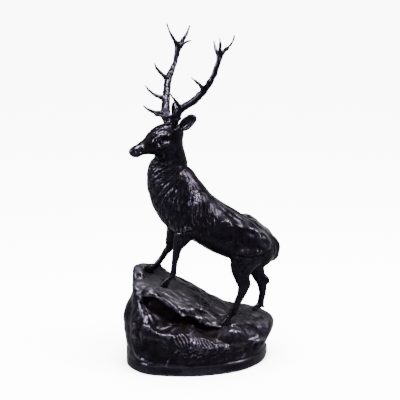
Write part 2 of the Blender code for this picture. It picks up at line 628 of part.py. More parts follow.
def ground_height(x, y):
    """Height of the ground over each point, on a smooth sheet through the table."""
    table = np.array(GROUND, float)

    def place(value, marks):
        position = np.interp(value, marks, np.arange(len(marks)))
        cell = np.clip(np.floor(position).astype(int), 0, len(marks) - 2)
        return cell, position - cell

    def weights(t):
        return (
            -0.5 * t + t**2 - 0.5 * t**3,
            1 - 2.5 * t**2 + 1.5 * t**3,
            0.5 * t + 2 * t**2 - 1.5 * t**3,
            -0.5 * t**2 + 0.5 * t**3,
        )

    column, u = place(x, GROUND_X)
    row, v = place(y, GROUND_Y)
    height = 0
    for i, row_weight in enumerate(weights(v)):
        for j, column_weight in enumerate(weights(u)):
            r = np.clip(row + i - 1, 0, len(GROUND_Y) - 1)
            c = np.clip(column + j - 1, 0, len(GROUND_X) - 1)
            height = height + row_weight * column_weight * table[r, c]
    return height


def build_rock():
    """A flared wall over the outline of the foot, under an uneven ramp, with its lip, boulders and rim."""
    clay = Clay((-84, -64, -9), (84, 60, 108), ROCK_STEP)
    cut, (x, y, z) = clay.window((-90, -90, -90), (120, 120, 120))
    outline = eased([*FOOT, FOOT[0]], 6)[:, :2] - np.array(FOOT_CENTRE)
    turn = np.arctan2(outline[:, 1], outline[:, 0])
    order = np.argsort(turn)
    reach = np.hypot(outline[:, 0], outline[:, 1])[order]
    across, deep = x - FOOT_CENTRE[0], y - FOOT_CENTRE[1]
    edge = np.interp(np.arctan2(deep, across), turn[order], reach, period=2 * math.pi)
    flare = np.interp(z, *zip(*FLARE_MIDDLE))
    flare = flare + (np.interp(z, *zip(*FLARE_LEFT)) - flare) * np.clip(-x / 10 - 5.2, 0, 1)
    flare = flare + (np.interp(z, *zip(*FLARE_RIGHT)) - flare) * np.clip(x / 60 + 0.2, 0, 1)
    wall = np.hypot(across, deep) - edge * flare
    top = (z - ground_height(x + 0 * y, y + 0 * x)) * 0.86
    near = np.maximum(7 - np.abs(wall - top), 0)
    both = np.maximum(wall, top) + near * near / 28
    both = np.maximum(both, -z - 5)
    clay.values[:] = np.clip(both, -EMPTY, EMPTY)
    for rows in SPURS:
        clay.loft(rows, LEVEL, 6)
    clay.loft(CROWN, LEVEL, 5)
    hollow = [(x + 1, y - HOLLOW_OUT * wide, z - LIP_THICK - high, high, wide) for x, y, z, high, wide in LIP]
    clay.loft(hollow, LEVEL, 1.5, away=True)
    for rows in BAYS:
        clay.loft(rows, LEVEL, 5, away=True)
    for centre, radii, axis in BOULDERS:
        clay.blob(centre, radii, axis, LEVEL, 5)
    skin = Skin(*clay.surface())
    skin.relax(2)
    return skin


def level_foot(obj):
    """Cuts the object flat at the ground and closes it there."""
    body = bmesh.new()
    body.from_mesh(obj.data)
    every = body.verts[:] + body.edges[:] + body.faces[:]
    bmesh.ops.bisect_plane(
        body, geom=every, dist=1e-6, plane_co=(0, 0, 0), plane_no=(0, 0, 1), clear_inner=True
    )
    bmesh.ops.holes_fill(body, edges=[edge for edge in body.edges if edge.is_boundary], sides=0)
    bmesh.ops.recalc_face_normals(body, faces=body.faces)
    body.to_mesh(obj.data)
    body.free()


def thin(obj, triangles):
    """Brings the object to about this many triangles."""
    number = sum(len(face.vertices) - 2 for face in obj.data.polygons)
    modifier = obj.modifiers.new("thin", "DECIMATE")
    modifier.ratio = triangles / number
    modifier.use_collapse_triangulate = True
    bpy.context.view_layer.objects.active = obj
    bpy.ops.object.modifier_apply(modifier=modifier.name)


def bronze(name, colour, roughness):
    """Dark patinated bronze."""
    material = bpy.data.materials.new(name)
    material.use_nodes = True
    shader = material.node_tree.nodes["Principled BSDF"]
    shader.inputs["Base Color"].default_value = (*colour, 1)
    shader.inputs["Metallic"].default_value = 1.0
    shader.inputs["Roughness"].default_value = roughness
    return material


for old in list(bpy.data.objects):
    bpy.data.objects.remove(old)
for old in list(bpy.data.meshes):
    bpy.data.meshes.remove(old)

chance = np.random.default_rng(SEED)

rock = build_rock().mesh("rock_base")
rock.data.materials.append(bronze("rock_bronze", (0.035, 0.03, 0.032), 0.42))
thin(rock, ROCK_TRIANGLES)
level_foot(rock)

clay = Clay((-70, -42, 34), (92, 58, 342), STAG_STEP)
build_trunk(clay)
build_legs(clay)
build_head(clay)
build_antlers(clay)
skin = Skin(*clay.surface())
skin.relax(2)
comb(skin, chance)
stag = skin.mesh("stag")
stag.data.materials.append(bronze("stag_bronze", (0.03, 0.026, 0.03), 0.34))
thin(stag, STAG_TRIANGLES)

# The hooves are cut to the rock, which stands off them by the gap.
footing = rock.copy()
footing.data = rock.data.copy()
footing.name = "footing"
bpy.context.scene.collection.objects.link(footing)
footing.hide_render = True
footing.display_type = "WIRE"
swell = footing.modifiers.new("swell", "DISPLACE")
swell.strength = SEAT_GAP
swell.mid_level = 0
seat = stag.modifiers.new("seat", "BOOLEAN")
seat.operation = "DIFFERENCE"
seat.solver = "EXACT"
seat.object = footing
for obj in (rock, stag):
    print(obj.name, len(obj.data.polygons), "faces")
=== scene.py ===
import math

import bpy
import numpy as np
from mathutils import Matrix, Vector, kdtree


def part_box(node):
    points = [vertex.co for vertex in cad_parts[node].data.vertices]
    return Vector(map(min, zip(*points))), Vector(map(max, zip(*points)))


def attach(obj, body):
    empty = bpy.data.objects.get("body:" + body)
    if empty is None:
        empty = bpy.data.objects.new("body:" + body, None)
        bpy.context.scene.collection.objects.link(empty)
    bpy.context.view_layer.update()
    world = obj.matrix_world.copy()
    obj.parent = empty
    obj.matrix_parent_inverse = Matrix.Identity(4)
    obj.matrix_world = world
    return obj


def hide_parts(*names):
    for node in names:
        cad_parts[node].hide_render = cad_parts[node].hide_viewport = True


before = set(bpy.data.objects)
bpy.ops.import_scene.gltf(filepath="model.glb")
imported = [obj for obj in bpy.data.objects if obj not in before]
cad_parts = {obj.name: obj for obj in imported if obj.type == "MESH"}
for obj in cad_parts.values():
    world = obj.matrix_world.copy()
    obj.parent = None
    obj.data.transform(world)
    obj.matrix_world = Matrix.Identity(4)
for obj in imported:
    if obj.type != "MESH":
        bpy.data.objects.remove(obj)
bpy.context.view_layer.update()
bpy.ops.object.select_all(action="DESELECT")

# The figure is drawn on a grid of squares: its highest tine is cast this many squares above the ground.
castHeight = 338.8
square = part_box("stag")[1].z / castHeight
farAway = 9.0  # squares, the distance that stands for nothing near

across = (0.0, 0.99, 0.14)
level = (0.0, 1.0, 0.0)
headAcross = (-0.47, 0.88, 0.07)

# The photograph's view, in squares: 13 degrees down on the figure from its left side.
viewpoint = {"target": (2.0, 0.0, 167.0), "distance": 1050.0, "down": 13.0, "sensor": 36.0, "frame": 400.0}
tilt = math.radians(viewpoint["down"])
eye = np.array(viewpoint["target"]) + viewpoint["distance"] * np.array((0, -math.cos(tilt), math.sin(tilt)))


def unit(vector):
    vector = np.asarray(vector, float)
    return vector / np.linalg.norm(vector)


def faded(values):
    return np.clip(values, 0, 1)


def eased(rows, steps):
    # more rows on a smooth curve through the given ones
    rows = np.array(rows, float)
    ends = np.vstack([2 * rows[0] - rows[1], rows, 2 * rows[-1] - rows[-2]])
    out = []
    for a, b, c, d in zip(ends, ends[1:], ends[2:], ends[3:]):
        for t in np.arange(steps) / steps:
            bend = (2 * a - 5 * b + 4 * c - d) * t**2 + (3 * b - 3 * c + d - a) * t**3
            out.append(0.5 * (2 * b + (c - a) * t + bend))
    out.append(rows[-1])
    return np.array(out)


class Clay:
    # distances to the skin on a grid of points, under zero inside: blobs and lofts are laid on or cut away

    def __init__(self, low, high, step):
        self.step = step
        self.margin = farAway
        self.low = np.array(low, float)
        counts = np.ceil((np.array(high, float) - self.low) / step).astype(int) + 1
        self.axes = [(self.low[i] + step * np.arange(counts[i])).astype(np.float32) for i in range(3)]
        self.values = np.full(counts, farAway, np.float32)

    def window(self, low, high):
        cut = []
        for axis, a, b in zip(self.axes, low, high):
            cut.append(slice(np.searchsorted(axis, a), np.searchsorted(axis, b, side="right")))
        x, y, z = (axis[c] for axis, c in zip(self.axes, cut))
        return tuple(cut), (x[:, None, None], y[None, :, None], z[None, None, :])

    def lay(self, cut, other, radius, away):
        here = self.values[cut]
        if away:
            near = np.maximum(radius - np.abs(here + other), 0)
            self.values[cut] = np.maximum(here, -other) + near * near / (4 * radius)
        elif radius:
            near = np.maximum(radius - np.abs(here - other), 0)
            self.values[cut] = np.minimum(here, other) - near * near / (4 * radius)
        else:
            self.values[cut] = np.minimum(here, other)

    def loft(self, rows, side, radius, egg=0.0, steps=4, away=False):
        # rows: centre x, y, z, half the depth in the plane of the path, half the width across it
        rows = eased(rows, steps).astype(np.float32)
        reach = rows[:, 3:].max() + self.margin
        whole, (xs, ys, zs) = self.window(rows[:, :3].min(axis=0) - reach, rows[:, :3].max(axis=0) + reach)
        xs, ys, zs = xs.ravel(), ys.ravel(), zs.ravel()
        shape = np.full((len(xs), len(ys), len(zs)), farAway, np.float32)
        for first, last in zip(rows, rows[1:]):
            reach = max(first[3:].max(), last[3:].max()) + self.margin
            low = np.minimum(first[:3], last[:3]) - reach
            high = np.maximum(first[:3], last[:3]) + reach
            cut = tuple(slice(*np.searchsorted(axis, (a, b))) for axis, a, b in zip((xs, ys, zs), low, high))
            x, y, z = xs[cut[0], None, None], ys[None, cut[1], None], zs[None, None, cut[2]]
            along = last[:3] - first[:3]
            length = np.linalg.norm(along)
            along = along / length
            beside = unit(np.array(side) - along * np.dot(side, along)).astype(np.float32)
            up = np.cross(beside, along)
            x, y, z = x - first[0], y - first[1], z - first[2]
            run = x * along[0] + y * along[1] + z * along[2]
            share = faded(run / length)
            over = run - share * length
            v = x * up[0] + y * up[1] + z * up[2]
            u = x * beside[0] + y * beside[1] + z * beside[2]
            deep = first[3] + (last[3] - first[3]) * share
            wide = first[4] + (last[4] - first[4]) * share
            if egg:
                wide = wide * (1 - egg * np.clip(v * np.sign(up[2]) / deep, -1, 1))
            small = np.minimum(deep, wide)
            reached = np.sqrt(np.maximum((v / deep) ** 2 + (u / wide) ** 2 + (over / small) ** 2, 1e-6))
            distance = np.maximum(np.sqrt(u * u + v * v + over * over) * (1 - 1 / reached), -small)
            shape[cut] = np.minimum(shape[cut], distance)
        self.lay(whole, shape, radius, away)

    def rod(self, rows, radius):
        self.loft([row + (row[3],) for row in rows], level, radius)

    def blob(self, centre, radii, axis, side, radius, away=False):
        # an ellipsoid: its first radius lies along the axis and its last across
        along = unit(axis)
        beside = unit(np.array(side) - along * np.dot(side, along))
        up = np.cross(beside, along)
        reach = max(radii) + self.margin
        cut, (x, y, z) = self.window(np.array(centre) - reach, np.array(centre) + reach)
        x, y, z = x - np.float32(centre[0]), y - np.float32(centre[1]), z - np.float32(centre[2])
        squares, length = np.float32(1e-6), np.float32(1e-6)
        for way, size in zip((along, up, beside), radii):
            way = way.astype(np.float32)
            part = x * way[0] + y * way[1] + z * way[2]
            squares = squares + (part / np.float32(size)) ** 2
            length = length + part**2
        distance = np.sqrt(length) * (1 - 1 / np.sqrt(squares))
        self.lay(cut, np.maximum(distance, -min(radii)), radius, away)

    def surface(self):
        # a point in each cell that the skin crosses, and a four-sided face round each crossed edge
        values = self.values
        inside = values < 0
        corners = [(i, j, k) for i in (0, 1) for j in (0, 1) for k in (0, 1)]
        shape = np.array(values.shape) - 1
        total = np.zeros(shape, np.int8)
        for i, j, k in corners:
            total += inside[i : i + shape[0], j : j + shape[1], k : k + shape[2]]
        cells = np.argwhere((total > 0) & (total < 8))
        at = {c: values[cells[:, 0] + c[0], cells[:, 1] + c[1], cells[:, 2] + c[2]] for c in corners}
        place = np.zeros((len(cells), 3))
        crossings = np.zeros(len(cells))
        for first in corners:
            for axis in range(3):
                if first[axis]:
                    continue
                second = tuple(1 if n == axis else c for n, c in enumerate(first))
                a, b = at[first], at[second]
                crossed = (a < 0) != (b < 0)
                share = np.where(crossed, a / np.where(crossed, a - b, 1), 0)
                place += (np.array(first, float) + np.eye(3)[axis] * share[:, None]) * crossed[:, None]
                crossings += crossed
        points = self.low + (cells + place / crossings[:, None]) * self.step
        number = np.full(shape, -1, np.int32)
        number[tuple(cells.T)] = np.arange(len(cells))
        faces = []
        for axis in range(3):
            low, high = [slice(None)] * 3, [slice(None)] * 3
            low[axis], high[axis] = slice(None, -1), slice(1, None)
            a, b = inside[tuple(low)], inside[tuple(high)]
            edges = np.argwhere(a != b)
            leaves = a[tuple(edges.T)]
            one, two = (axis + 1) % 3, (axis + 2) % 3
            ring = []
            for back in ((1, 1), (0, 1), (0, 0), (1, 0)):
                cell = edges.copy()
                cell[:, one] -= back[0]
                cell[:, two] -= back[1]
                ring.append(number[tuple(cell.T)])
            ring = np.array(ring).T
            faces.append(np.where(leaves[:, None], ring, ring[:, ::-1]))
        return points, np.vstack(faces)


class Skin:
    # the surface taken off the clay, which is relaxed, combed and cut along its normals

    def __init__(self, points, faces):
        self.points = points
        self.faces = faces
        ends = np.vstack([faces[:, [0, 1]], faces[:, [1, 2]], faces[:, [2, 3]], faces[:, [3, 0]]])
        ends.sort(axis=1)
        codes = np.unique(ends[:, 0].astype(np.int64) * len(points) + ends[:, 1])
        self.edges = np.array([codes // len(points), codes % len(points)])
        self.degree = np.bincount(self.edges.ravel(), minlength=len(points))

    def middles(self, values):
        a, b = self.edges
        total = np.bincount(a, values[b], len(values)) + np.bincount(b, values[a], len(values))
        return total / self.degree

    def relaxed(self, points, rounds, strength=0.5):
        for _ in range(rounds):
            middle = np.array([self.middles(points[:, axis]) for axis in range(3)]).T
            points = points + (middle - points) * strength
        return points

    def relax(self, rounds, strength=0.5):
        self.points = self.relaxed(self.points, rounds, strength)

    def normals(self):
        corner = self.points[self.faces]
        flat = np.cross(corner[:, 2] - corner[:, 0], corner[:, 3] - corner[:, 1])
        total = np.zeros_like(self.points)
        for axis in range(3):
            for n in range(4):
                total[:, axis] += np.bincount(self.faces[:, n], flat[:, axis], len(self.points))
        return total / np.maximum(np.linalg.norm(total, axis=1), 1e-9)[:, None]

    def relaxedNormals(self, rounds):
        held = self.points
        self.points = self.relaxed(held, rounds)
        found = self.normals()
        self.points = held
        return found

    def raiseBy(self, amount):
        self.points = self.points + self.normals() * amount[:, None]

    def cast(self, side):
        # where the eye, or its mirror image past the far side, sees each point on the middle plane
        share = eye[1] / (eye[1] + side * self.points[:, 1])
        return eye[0] + (self.points[:, 0] - eye[0]) * share, eye[2] + (self.points[:, 2] - eye[2]) * share

    def outline(self, drawn, side):
        # paths drawn on the middle plane as the eye sees them, brought out to the skin in front
        reach = 0.8
        seen, high = self.cast(side)
        order = np.argsort(seen)
        ranked = seen[order]
        brought = []
        for path, width, height in drawn:
            found = []
            for x, z in eased(path, 4):
                ends = np.searchsorted(ranked, (x - reach, x + reach))
                near = order[ends[0] : ends[1]]
                near = near[np.abs(high[near] - z) < reach]
                if len(near):
                    found.append(self.points[near[np.argmax(self.points[near, 1] * side)]])
            if len(found) > 2:
                brought.append((found, width, height))
        return brought

    def draw(self, drawn, side):
        self.strokes(self.outline(drawn, side))

    def strokes(self, paths):
        # each path: its points, half width and height; a height under zero cuts a groove
        lift = np.zeros(len(self.points))
        for path, width, height in paths:
            route = np.array(path, float)
            reach = width * 2.6  # past it nothing of the stroke is left
            low, high = route.min(axis=0) - reach, route.max(axis=0) + reach
            near = np.flatnonzero(((self.points > low) & (self.points < high)).all(axis=1))
            spots = self.points[near]
            best = np.full(len(near), 1e9)
            place = np.zeros(len(near))
            for n, (a, b) in enumerate(zip(route, route[1:])):
                along = b - a
                if not along.any():
                    continue
                share = faded((spots - a) @ along / (along @ along))
                gap = ((spots - a - share[:, None] * along) ** 2).sum(axis=1)
                closer = gap < best
                best[closer] = gap[closer]
                place[closer] = (n + share[closer]) / (len(route) - 1)
            fade = faded(np.minimum(place, 1 - place) * 6 + 0.25)
            lift[near] += height * fade * np.exp(-best / width**2)
        self.raiseBy(lift)

    def scatter(self, mask, spacing, chance):
        # points of the skin about this far apart
        found = np.flatnonzero(mask)
        found = found[chance.permutation(len(found))]
        cells = np.floor(self.points[found] / spacing).astype(np.int64)
        _, first = np.unique(cells @ np.array([1, 1000, 1000000]), return_index=True)
        return found[first]

    def locks(self, seeds, flow, size, wave, chance):
        # overlapping tapered locks of hair, each a ridge that rises from its root to a lifted tip
        length, width, height = size
        normals = self.normals()
        order = np.argsort(self.points[:, 2])
        heights = self.points[order, 2]
        lift = np.zeros(len(self.points))
        for root in seeds:
            spot, normal = self.points[root], normals[root]
            way = np.array(flow(spot))
            way = unit(way - normal * np.dot(way, normal))
            beside = np.cross(normal, way)
            long = length * chance.uniform(0.75, 1.25)
            wide = width * chance.uniform(0.8, 1.2)
            bend = wide * chance.uniform(-wave, wave)
            ends = np.searchsorted(heights, (spot[2] - long - 2, spot[2] + long * 0.5 + 2))
            near = order[ends[0] : ends[1]]
            away = self.points[near] - spot
            along = away @ way / long
            depth = away @ normal
            keep = (along > 0) & (along < 1) & (np.abs(depth) < 5 + long * 0.2)
            keep &= normals[near] @ normal > 0.1
            near, away, run = near[keep], away[keep], along[keep]
            off = away @ beside - bend * np.sin(math.pi * run)
            taper = wide * np.sqrt(np.clip(1 - run**3, 0.02, 1)) * faded(run * 4 + 0.35)
            crown = faded(1 - (off / taper) ** 2)
            rise = height * crown**0.7 * faded(run * 1.6 + 0.1) * faded((1 - run) * 6)
            lift[near] = np.maximum(lift[near], rise)
        self.raiseBy(lift)
        return lift

    def toMesh(self, name, most, marks):
        # the skin as a mesh object of at most so many triangles, with each mark as a value on its points
        data = bpy.data.meshes.new(name)
        data.vertices.add(len(self.points))
        data.vertices.foreach_set("co", (self.points * square).astype(np.float32).ravel())
        data.loops.add(self.faces.size)
        data.loops.foreach_set("vertex_index", self.faces.astype(np.int32).ravel())
        data.polygons.add(len(self.faces))
        data.polygons.foreach_set("loop_start", np.arange(0, self.faces.size, 4, dtype=np.int32))
        data.update(calc_edges=True)
        data.validate()
        piece = bpy.data.objects.new(name, data)
        bpy.context.scene.collection.objects.link(piece)
        bpy.ops.object.select_all(action="DESELECT")
        piece.select_set(True)
        bpy.context.view_layer.objects.active = piece
        if 2 * len(self.faces) > most:
            bpy.ops.object.modifier_add(type="DECIMATE")
            piece.modifiers[0].ratio = most / (2 * len(self.faces))
            bpy.ops.object.modifier_apply(modifier=piece.modifiers[0].name)
        bpy.ops.object.shade_smooth()
        tree = kdtree.KDTree(len(self.points))
        for n, spot in enumerate((self.points * square).tolist()):
            tree.insert(spot, n)
        tree.balance()
        nearest = [tree.find(vertex.co)[1] for vertex in piece.data.vertices]
        for mark, values in marks.items():
            attribute = piece.data.attributes.new(mark, "FLOAT", "POINT")
            attribute.data.foreach_set("value", values[nearest].astype(np.float32))
        return piece

    def hollows(self, rounds):
        # how deep each point lies under the skin's own average: over zero in hollows, under zero on crests
        smooth = self.relaxed(self.points, rounds)
        return ((smooth - self.points) * self.normals()).sum(axis=1)


def fanned(fans):
    # rows of strokes that pass evenly from one key stroke to the next
    drawn = []
    for keys, count, width, height in fans:
        keys = np.array(keys, float)
        for share in np.linspace(0, len(keys) - 1, count * (len(keys) - 1) + 1):
            n = min(int(share), len(keys) - 2)
            drawn.append((keys[n] + (keys[n + 1] - keys[n]) * (share - n), width, height))
    return drawn


def brushed(patches, chance):
    # short curved strokes scattered over patches of the picture: middle, half sizes, lean in degrees,
    # how many, their length, half width, height and bend
    drawn = []
    for x, z, wide, high, lean, count, length, width, height, bend in patches:
        for _ in range(count):
            turn, out = chance.uniform(0, 2 * math.pi), math.sqrt(chance.uniform(0, 1))
            angle = math.radians(lean + chance.normal(0, 7))
            middle = np.array((x + wide * out * math.cos(turn), z + high * out * math.sin(turn)))
            along = np.array((math.cos(angle), math.sin(angle))) * length * chance.uniform(0.35, 0.65)
            aside = np.array((-along[1], along[0])) * bend * chance.uniform(0.5, 1.3)
            size = chance.uniform(0.7, 1.2)
            drawn.append(([middle - along, middle + aside, middle + along], width * size, height * size))
    return drawn


def rippled(points, size, chance):
    # a soft uneven field, about -1 to 1: waves of about this length in many directions
    total = np.zeros(len(points))
    for _ in range(14):
        way = unit(chance.normal(0, 1, 3)) * 2 * math.pi / (size * chance.uniform(0.75, 1.4))
        total += np.sin(points @ way + chance.uniform(0, 2 * math.pi))
    return total / math.sqrt(14)


# The animal, in squares. A loft's row: x, y, z, half depth, half width.
stagBody = {
    "trunk": [
        (74.5, 4, 110, 7, 8), (65, 4, 116, 14, 14.5), (53, 3, 123.8, 19.8, 19.5), (39.5, 1, 128.6, 22.6, 22),
        (25.5, 0, 136.2, 24.4, 24), (12.5, 0, 143.8, 24.3, 24), (0, 0, 152, 25, 23), (-13, 0, 161, 26.5, 21),
        (-23, 0, 169, 21, 16),
    ],
    "muscles": [  # middle, how it shifts toward the far side, radii, axis, fillet
        ((-2.5, -1, 158.5), (0, 15, 1), (20, 10, 8), (-0.35, 0, -1), 7),  # shoulder blade
        ((-10, 0, 146), (0, 15, 1), (13, 9, 7.5), (0.75, 0, -1), 6),  # upper arm
        ((51, 2, 136), (2, 12, 3), (12, 8, 9), (1, 0, -0.9), 8),  # hip
        ((55.5, 0, 117), (2.5, 13, 0), (21, 13, 9), (-0.75, 0, -1), 8),  # thigh
        ((68.5, 2, 110.5), (1, 9, 0), (11, 7, 8), (-0.4, 0, -1), 6),  # buttock
    ],
    "tail": [
        (72, 4, 125, 5.5, 6), (77.3, 4, 119.5, 5.8, 5.2), (78, 4.5, 113, 4.6, 4.4),
        (75.6, 4.5, 107, 3.2, 3.6),
    ],
    "neck": [
        (-8, 0, 154, 19, 18), (-15.5, -0.5, 170.5, 23, 18.5), (-25, -1, 183.5, 24.4, 17),
        (-29.5, -2, 194, 19.6, 14.8), (-27.7, -3, 203.5, 17.7, 13), (-27.5, -4, 213.5, 15.1, 11.8),
        (-26.5, -5, 222.5, 12, 10.6), (-25.5, -5, 231.5, 9.6, 9.4),
    ],
    "head": [
        (-23, -4, 236.5, 9, 9.2), (-29.5, -7, 232.5, 14.2, 10.8), (-36.8, -11, 229.2, 15, 10),
        (-42.3, -14, 227.2, 12.6, 9), (-47, -16.5, 225.5, 9.3, 7.2), (-52, -19, 223.8, 7.4, 6),
        (-56.5, -21.5, 222, 6.2, 5.6), (-60.3, -24, 220.4, 5.9, 5.6), (-62.6, -25.2, 220.4, 4.2, 4.6),
    ],
    "nearForeleg": [
        (-10, -12, 146, 14, 8), (-14.5, -12.5, 133, 9, 7), (-19, -13, 124, 5.6, 5), (-21.3, -13.5, 117, 4, 4),
        (-22, -14, 113, 3.9, 4), (-23.3, -14, 106.5, 3.1, 3.1), (-24.3, -14, 99.5, 3, 3),
        (-25, -14, 93.5, 3.2, 3.2), (-28.5, -14, 89.5, 2.5, 2.7), (-31.5, -14, 86.5, 2.8, 3.2),
    ],
    "farForeleg": [
        (-20, 12, 140, 11, 8), (-26, 12, 128.5, 6.2, 6), (-28.2, 12, 121.5, 5.2, 4.8),
        (-29, 12, 115, 4.3, 4.1), (-32.5, 12, 110.5, 3.6, 3.6), (-36, 12, 105, 3.1, 3.1),
        (-39.8, 12, 99.5, 3.1, 3.1), (-42, 12, 97, 3.2, 3.2), (-45, 12, 93.8, 2.5, 2.7),
        (-48, 12, 91.5, 2.8, 3.2),
    ],
    "nearHindleg": [
        (56, -9, 128.5, 17, 11), (49.5, -12, 114.5, 15.5, 9.5), (44, -13, 102, 12, 7.8),
        (43.8, -14, 92, 8.4, 5.8), (45.8, -14, 83.5, 6.4, 4.7), (45.2, -14, 77.5, 5.2, 4),
        (42.5, -14, 70, 4.1, 3.5), (39, -14, 62.5, 3.7, 3.2), (35.5, -14, 55, 3.9, 3.5),
        (32, -14.5, 50, 3, 3), (29, -15, 46.5, 3.1, 3.3),
    ],
    "farHindleg": [
        (64, 12, 118, 13, 9.5), (61, 13, 105, 11.5, 8.6), (59.2, 14, 94, 9.2, 7), (62, 14, 85.5, 7, 5.2),
        (65.6, 14, 77.5, 5.7, 4.4), (66.4, 14, 71.5, 4.6, 3.8), (66.6, 14, 65, 3.7, 3.4),
        (65.4, 14, 58.5, 3.4, 3.2), (64.5, 14, 53.5, 3.5, 3.3), (61.5, 13.5, 50.5, 2.8, 2.9),
        (58.8, 13, 48.8, 3, 3.2),
    ],
    "hooves": [  # ankle and toe
        ((-31, -14, 88), (-37, -14.4, 83.4)), ((-47.6, 12, 93), (-53.4, 11.8, 90.6)),
        ((29.5, -15, 47), (23.5, -15.4, 40.6)), ((59, 13, 49), (52.6, 12.8, 45.6)),
    ],
    "dewclaws": [(-23.2, -14, 90.2), (-39, 12, 95.4), (38.2, -14, 53.2), (67.4, 14, 51)],
    "ears": [  # root, tip, half width, hollow side
        ((-19.5, -13, 240), (-3, -23, 254.2), 6.1, (-0.35, -0.9, 0.1)),
        ((-22.5, 3, 244), (-24, 14, 262.5), 4.6, (-0.8, -0.5, 0.1)),
    ],
    "mane": [  # where, how far apart, length, half width, height, bend
        ("neck", 5.5, (15, 2.5, 1.15), 0.5),
        ("breast", 4.2, (14, 1.6, 0.5), 0.4),
        ("breast", 2.6, (9, 0.95, 0.36), 0.4),
    ],
    "barkAbove": 247,
    "step": 0.5,
    "triangles": 196000,
    "seed": 11,
}

# Antlers: x, y, z, radius. The first rod of each is the beam, the rest are its tines.
farAntler = [
    [(-28.6, 0, 243, 4.4), (-31.4, 3, 251, 4.4), (-32, 8, 258.5, 4.3), (-31.7, 17, 268, 3.9),
     (-30.8, 26, 278, 3.7), (-29.5, 32, 285.5, 3.5), (-25.6, 37, 294.5, 2.8), (-22.6, 41, 302.5, 2.5),
     (-21, 44, 311.5, 2.9), (-20.5, 46, 318, 3.2)],
    [(-30, 6, 255, 2.6), (-37.5, 2, 254.8, 2.1), (-44, -2, 256.2, 1.8), (-48.8, -5, 258.8, 1.4),
     (-53, -7, 262.8, 0.8)],
    [(-30, 16, 267, 2.6), (-35.8, 14, 268.2, 2.3), (-41.4, 14, 270.2, 1.9), (-47, 15, 273.8, 1.4),
     (-52.6, 16, 280, 0.8)],
    [(-29.5, 31, 284.5, 2.5), (-34, 29, 287.6, 2.3), (-38, 27, 292, 1.8), (-41.5, 25, 296, 1.4),
     (-43, 24, 301, 0.8)],
    [(-21, 46, 316, 2.4), (-24.5, 44, 323.5, 1.7), (-28, 42, 329.5, 1.3), (-31, 40, 338.4, 0.8)],
    [(-19.5, 46, 316, 2.6), (-14.5, 48, 323.5, 1.8), (-10.5, 50, 330, 1.3), (-8.5, 51, 336, 0.8)],
    [(-19.5, 45, 313, 2), (-14.5, 42, 319, 1.5), (-11, 39, 321, 1.1), (-7, 36, 322.5, 0.8)],
]
nearAntler = [
    [(-25, -8, 242, 4.2), (-21, -10, 252, 4.2), (-18.5, -13, 258, 4), (-13, -17, 263.3, 3.6),
     (-5.2, -21, 268.3, 3.5), (2.2, -24, 275.3, 3.5), (7.8, -26, 282.5, 3.3), (13.2, -27, 290.7, 2.9),
     (17.2, -26.5, 300.5, 2.7), (19.8, -25, 309, 2.8), (21, -23, 315, 3.1)],
    [(-22, -11, 254, 2.4), (-29, -14, 253, 1.9), (-36, -18, 254.5, 1.6), (-40.5, -20, 256, 1.3),
     (-43, -22, 259, 0.8)],
    [(-17, -14, 262, 2.4), (-20, -19, 267, 1.8), (-23, -24, 271.5, 1.3), (-26, -28, 276.5, 0.8)],
    [(5, -25.5, 280, 2.4), (2.5, -29, 285, 1.8), (-1.5, -32, 289, 1.3), (-6, -35, 293, 0.8)],
    [(19, -23, 313, 2), (16.5, -19, 320, 1.5), (15, -15, 326, 0.8)],
    [(20.5, -24, 313, 2), (21, -28, 321.5, 1.5), (20.5, -32, 329.5, 0.8)],
    [(21, -22, 313, 2.4), (27.5, -21, 319, 1.7), (32, -20, 324, 1.2), (34.5, -19, 331, 0.8)],
]


def buildTrunk(clay):
    clay.loft(stagBody["trunk"], across, 0, egg=0.16)
    clay.loft(stagBody["neck"], across, 8, egg=0.05)
    for side in (-1, 1):
        for middle, shift, radii, axis, fillet in stagBody["muscles"]:
            clay.blob(np.array(middle) + np.array(shift) * side, radii, axis, across, fillet)
    clay.blob((-35.2, 0, 165.5), (14, 6.6, 9), (0.4, 0, -1), across, 6)  # breast
    clay.blob((68, 4, 122.5), (12, 9, 14), (0.73, 0, -0.68), across, 6)  # croup
    clay.loft(stagBody["tail"], across, 2.6)
    for side in (-1, 1):
        # the flank, hollow between the last ribs and the hip bone
        clay.blob((49, 2 + side * 28.6, 134 + 2 * side), (17, 11, 11), (0.55, 0, -1), across, 7, away=True)


def buildLegs(clay):
    clay.margin = 4
    for name in ("nearForeleg", "farForeleg", "nearHindleg", "farHindleg"):
        clay.loft(stagBody[name], level, 3)
    clay.blob((49.8, -14, 85), (5, 2.6, 2.4), (-0.35, 0, 1), level, 2.5)
    clay.blob((71, 14, 80), (5, 2.4, 2.4), (-0.45, 0, 1), level, 2.5)
    for ankle, toe in stagBody["hooves"]:
        ankle, toe = np.array(ankle, float), np.array(toe, float)
        for side in (-1, 1):
            spread = np.array([0, side, 0])
            clay.loft([
                (*(ankle + spread * 1.5), 2.6, 2.2),
                (*((ankle + toe) / 2 + spread * 2 + (1.2, 0, -1.6)), 4.4, 2.4),
                (*(toe + spread * 2.1 + (1.6, 0, -0.8)), 3.0, 2.1),
            ], level, 0.8)
    for x, y, z in stagBody["dewclaws"]:
        for side in (-1, 1):
            clay.blob((x, y + side * 1.9, z), (2.2, 1.3, 1.2), (0.8, 0, -1), level, 0.8)


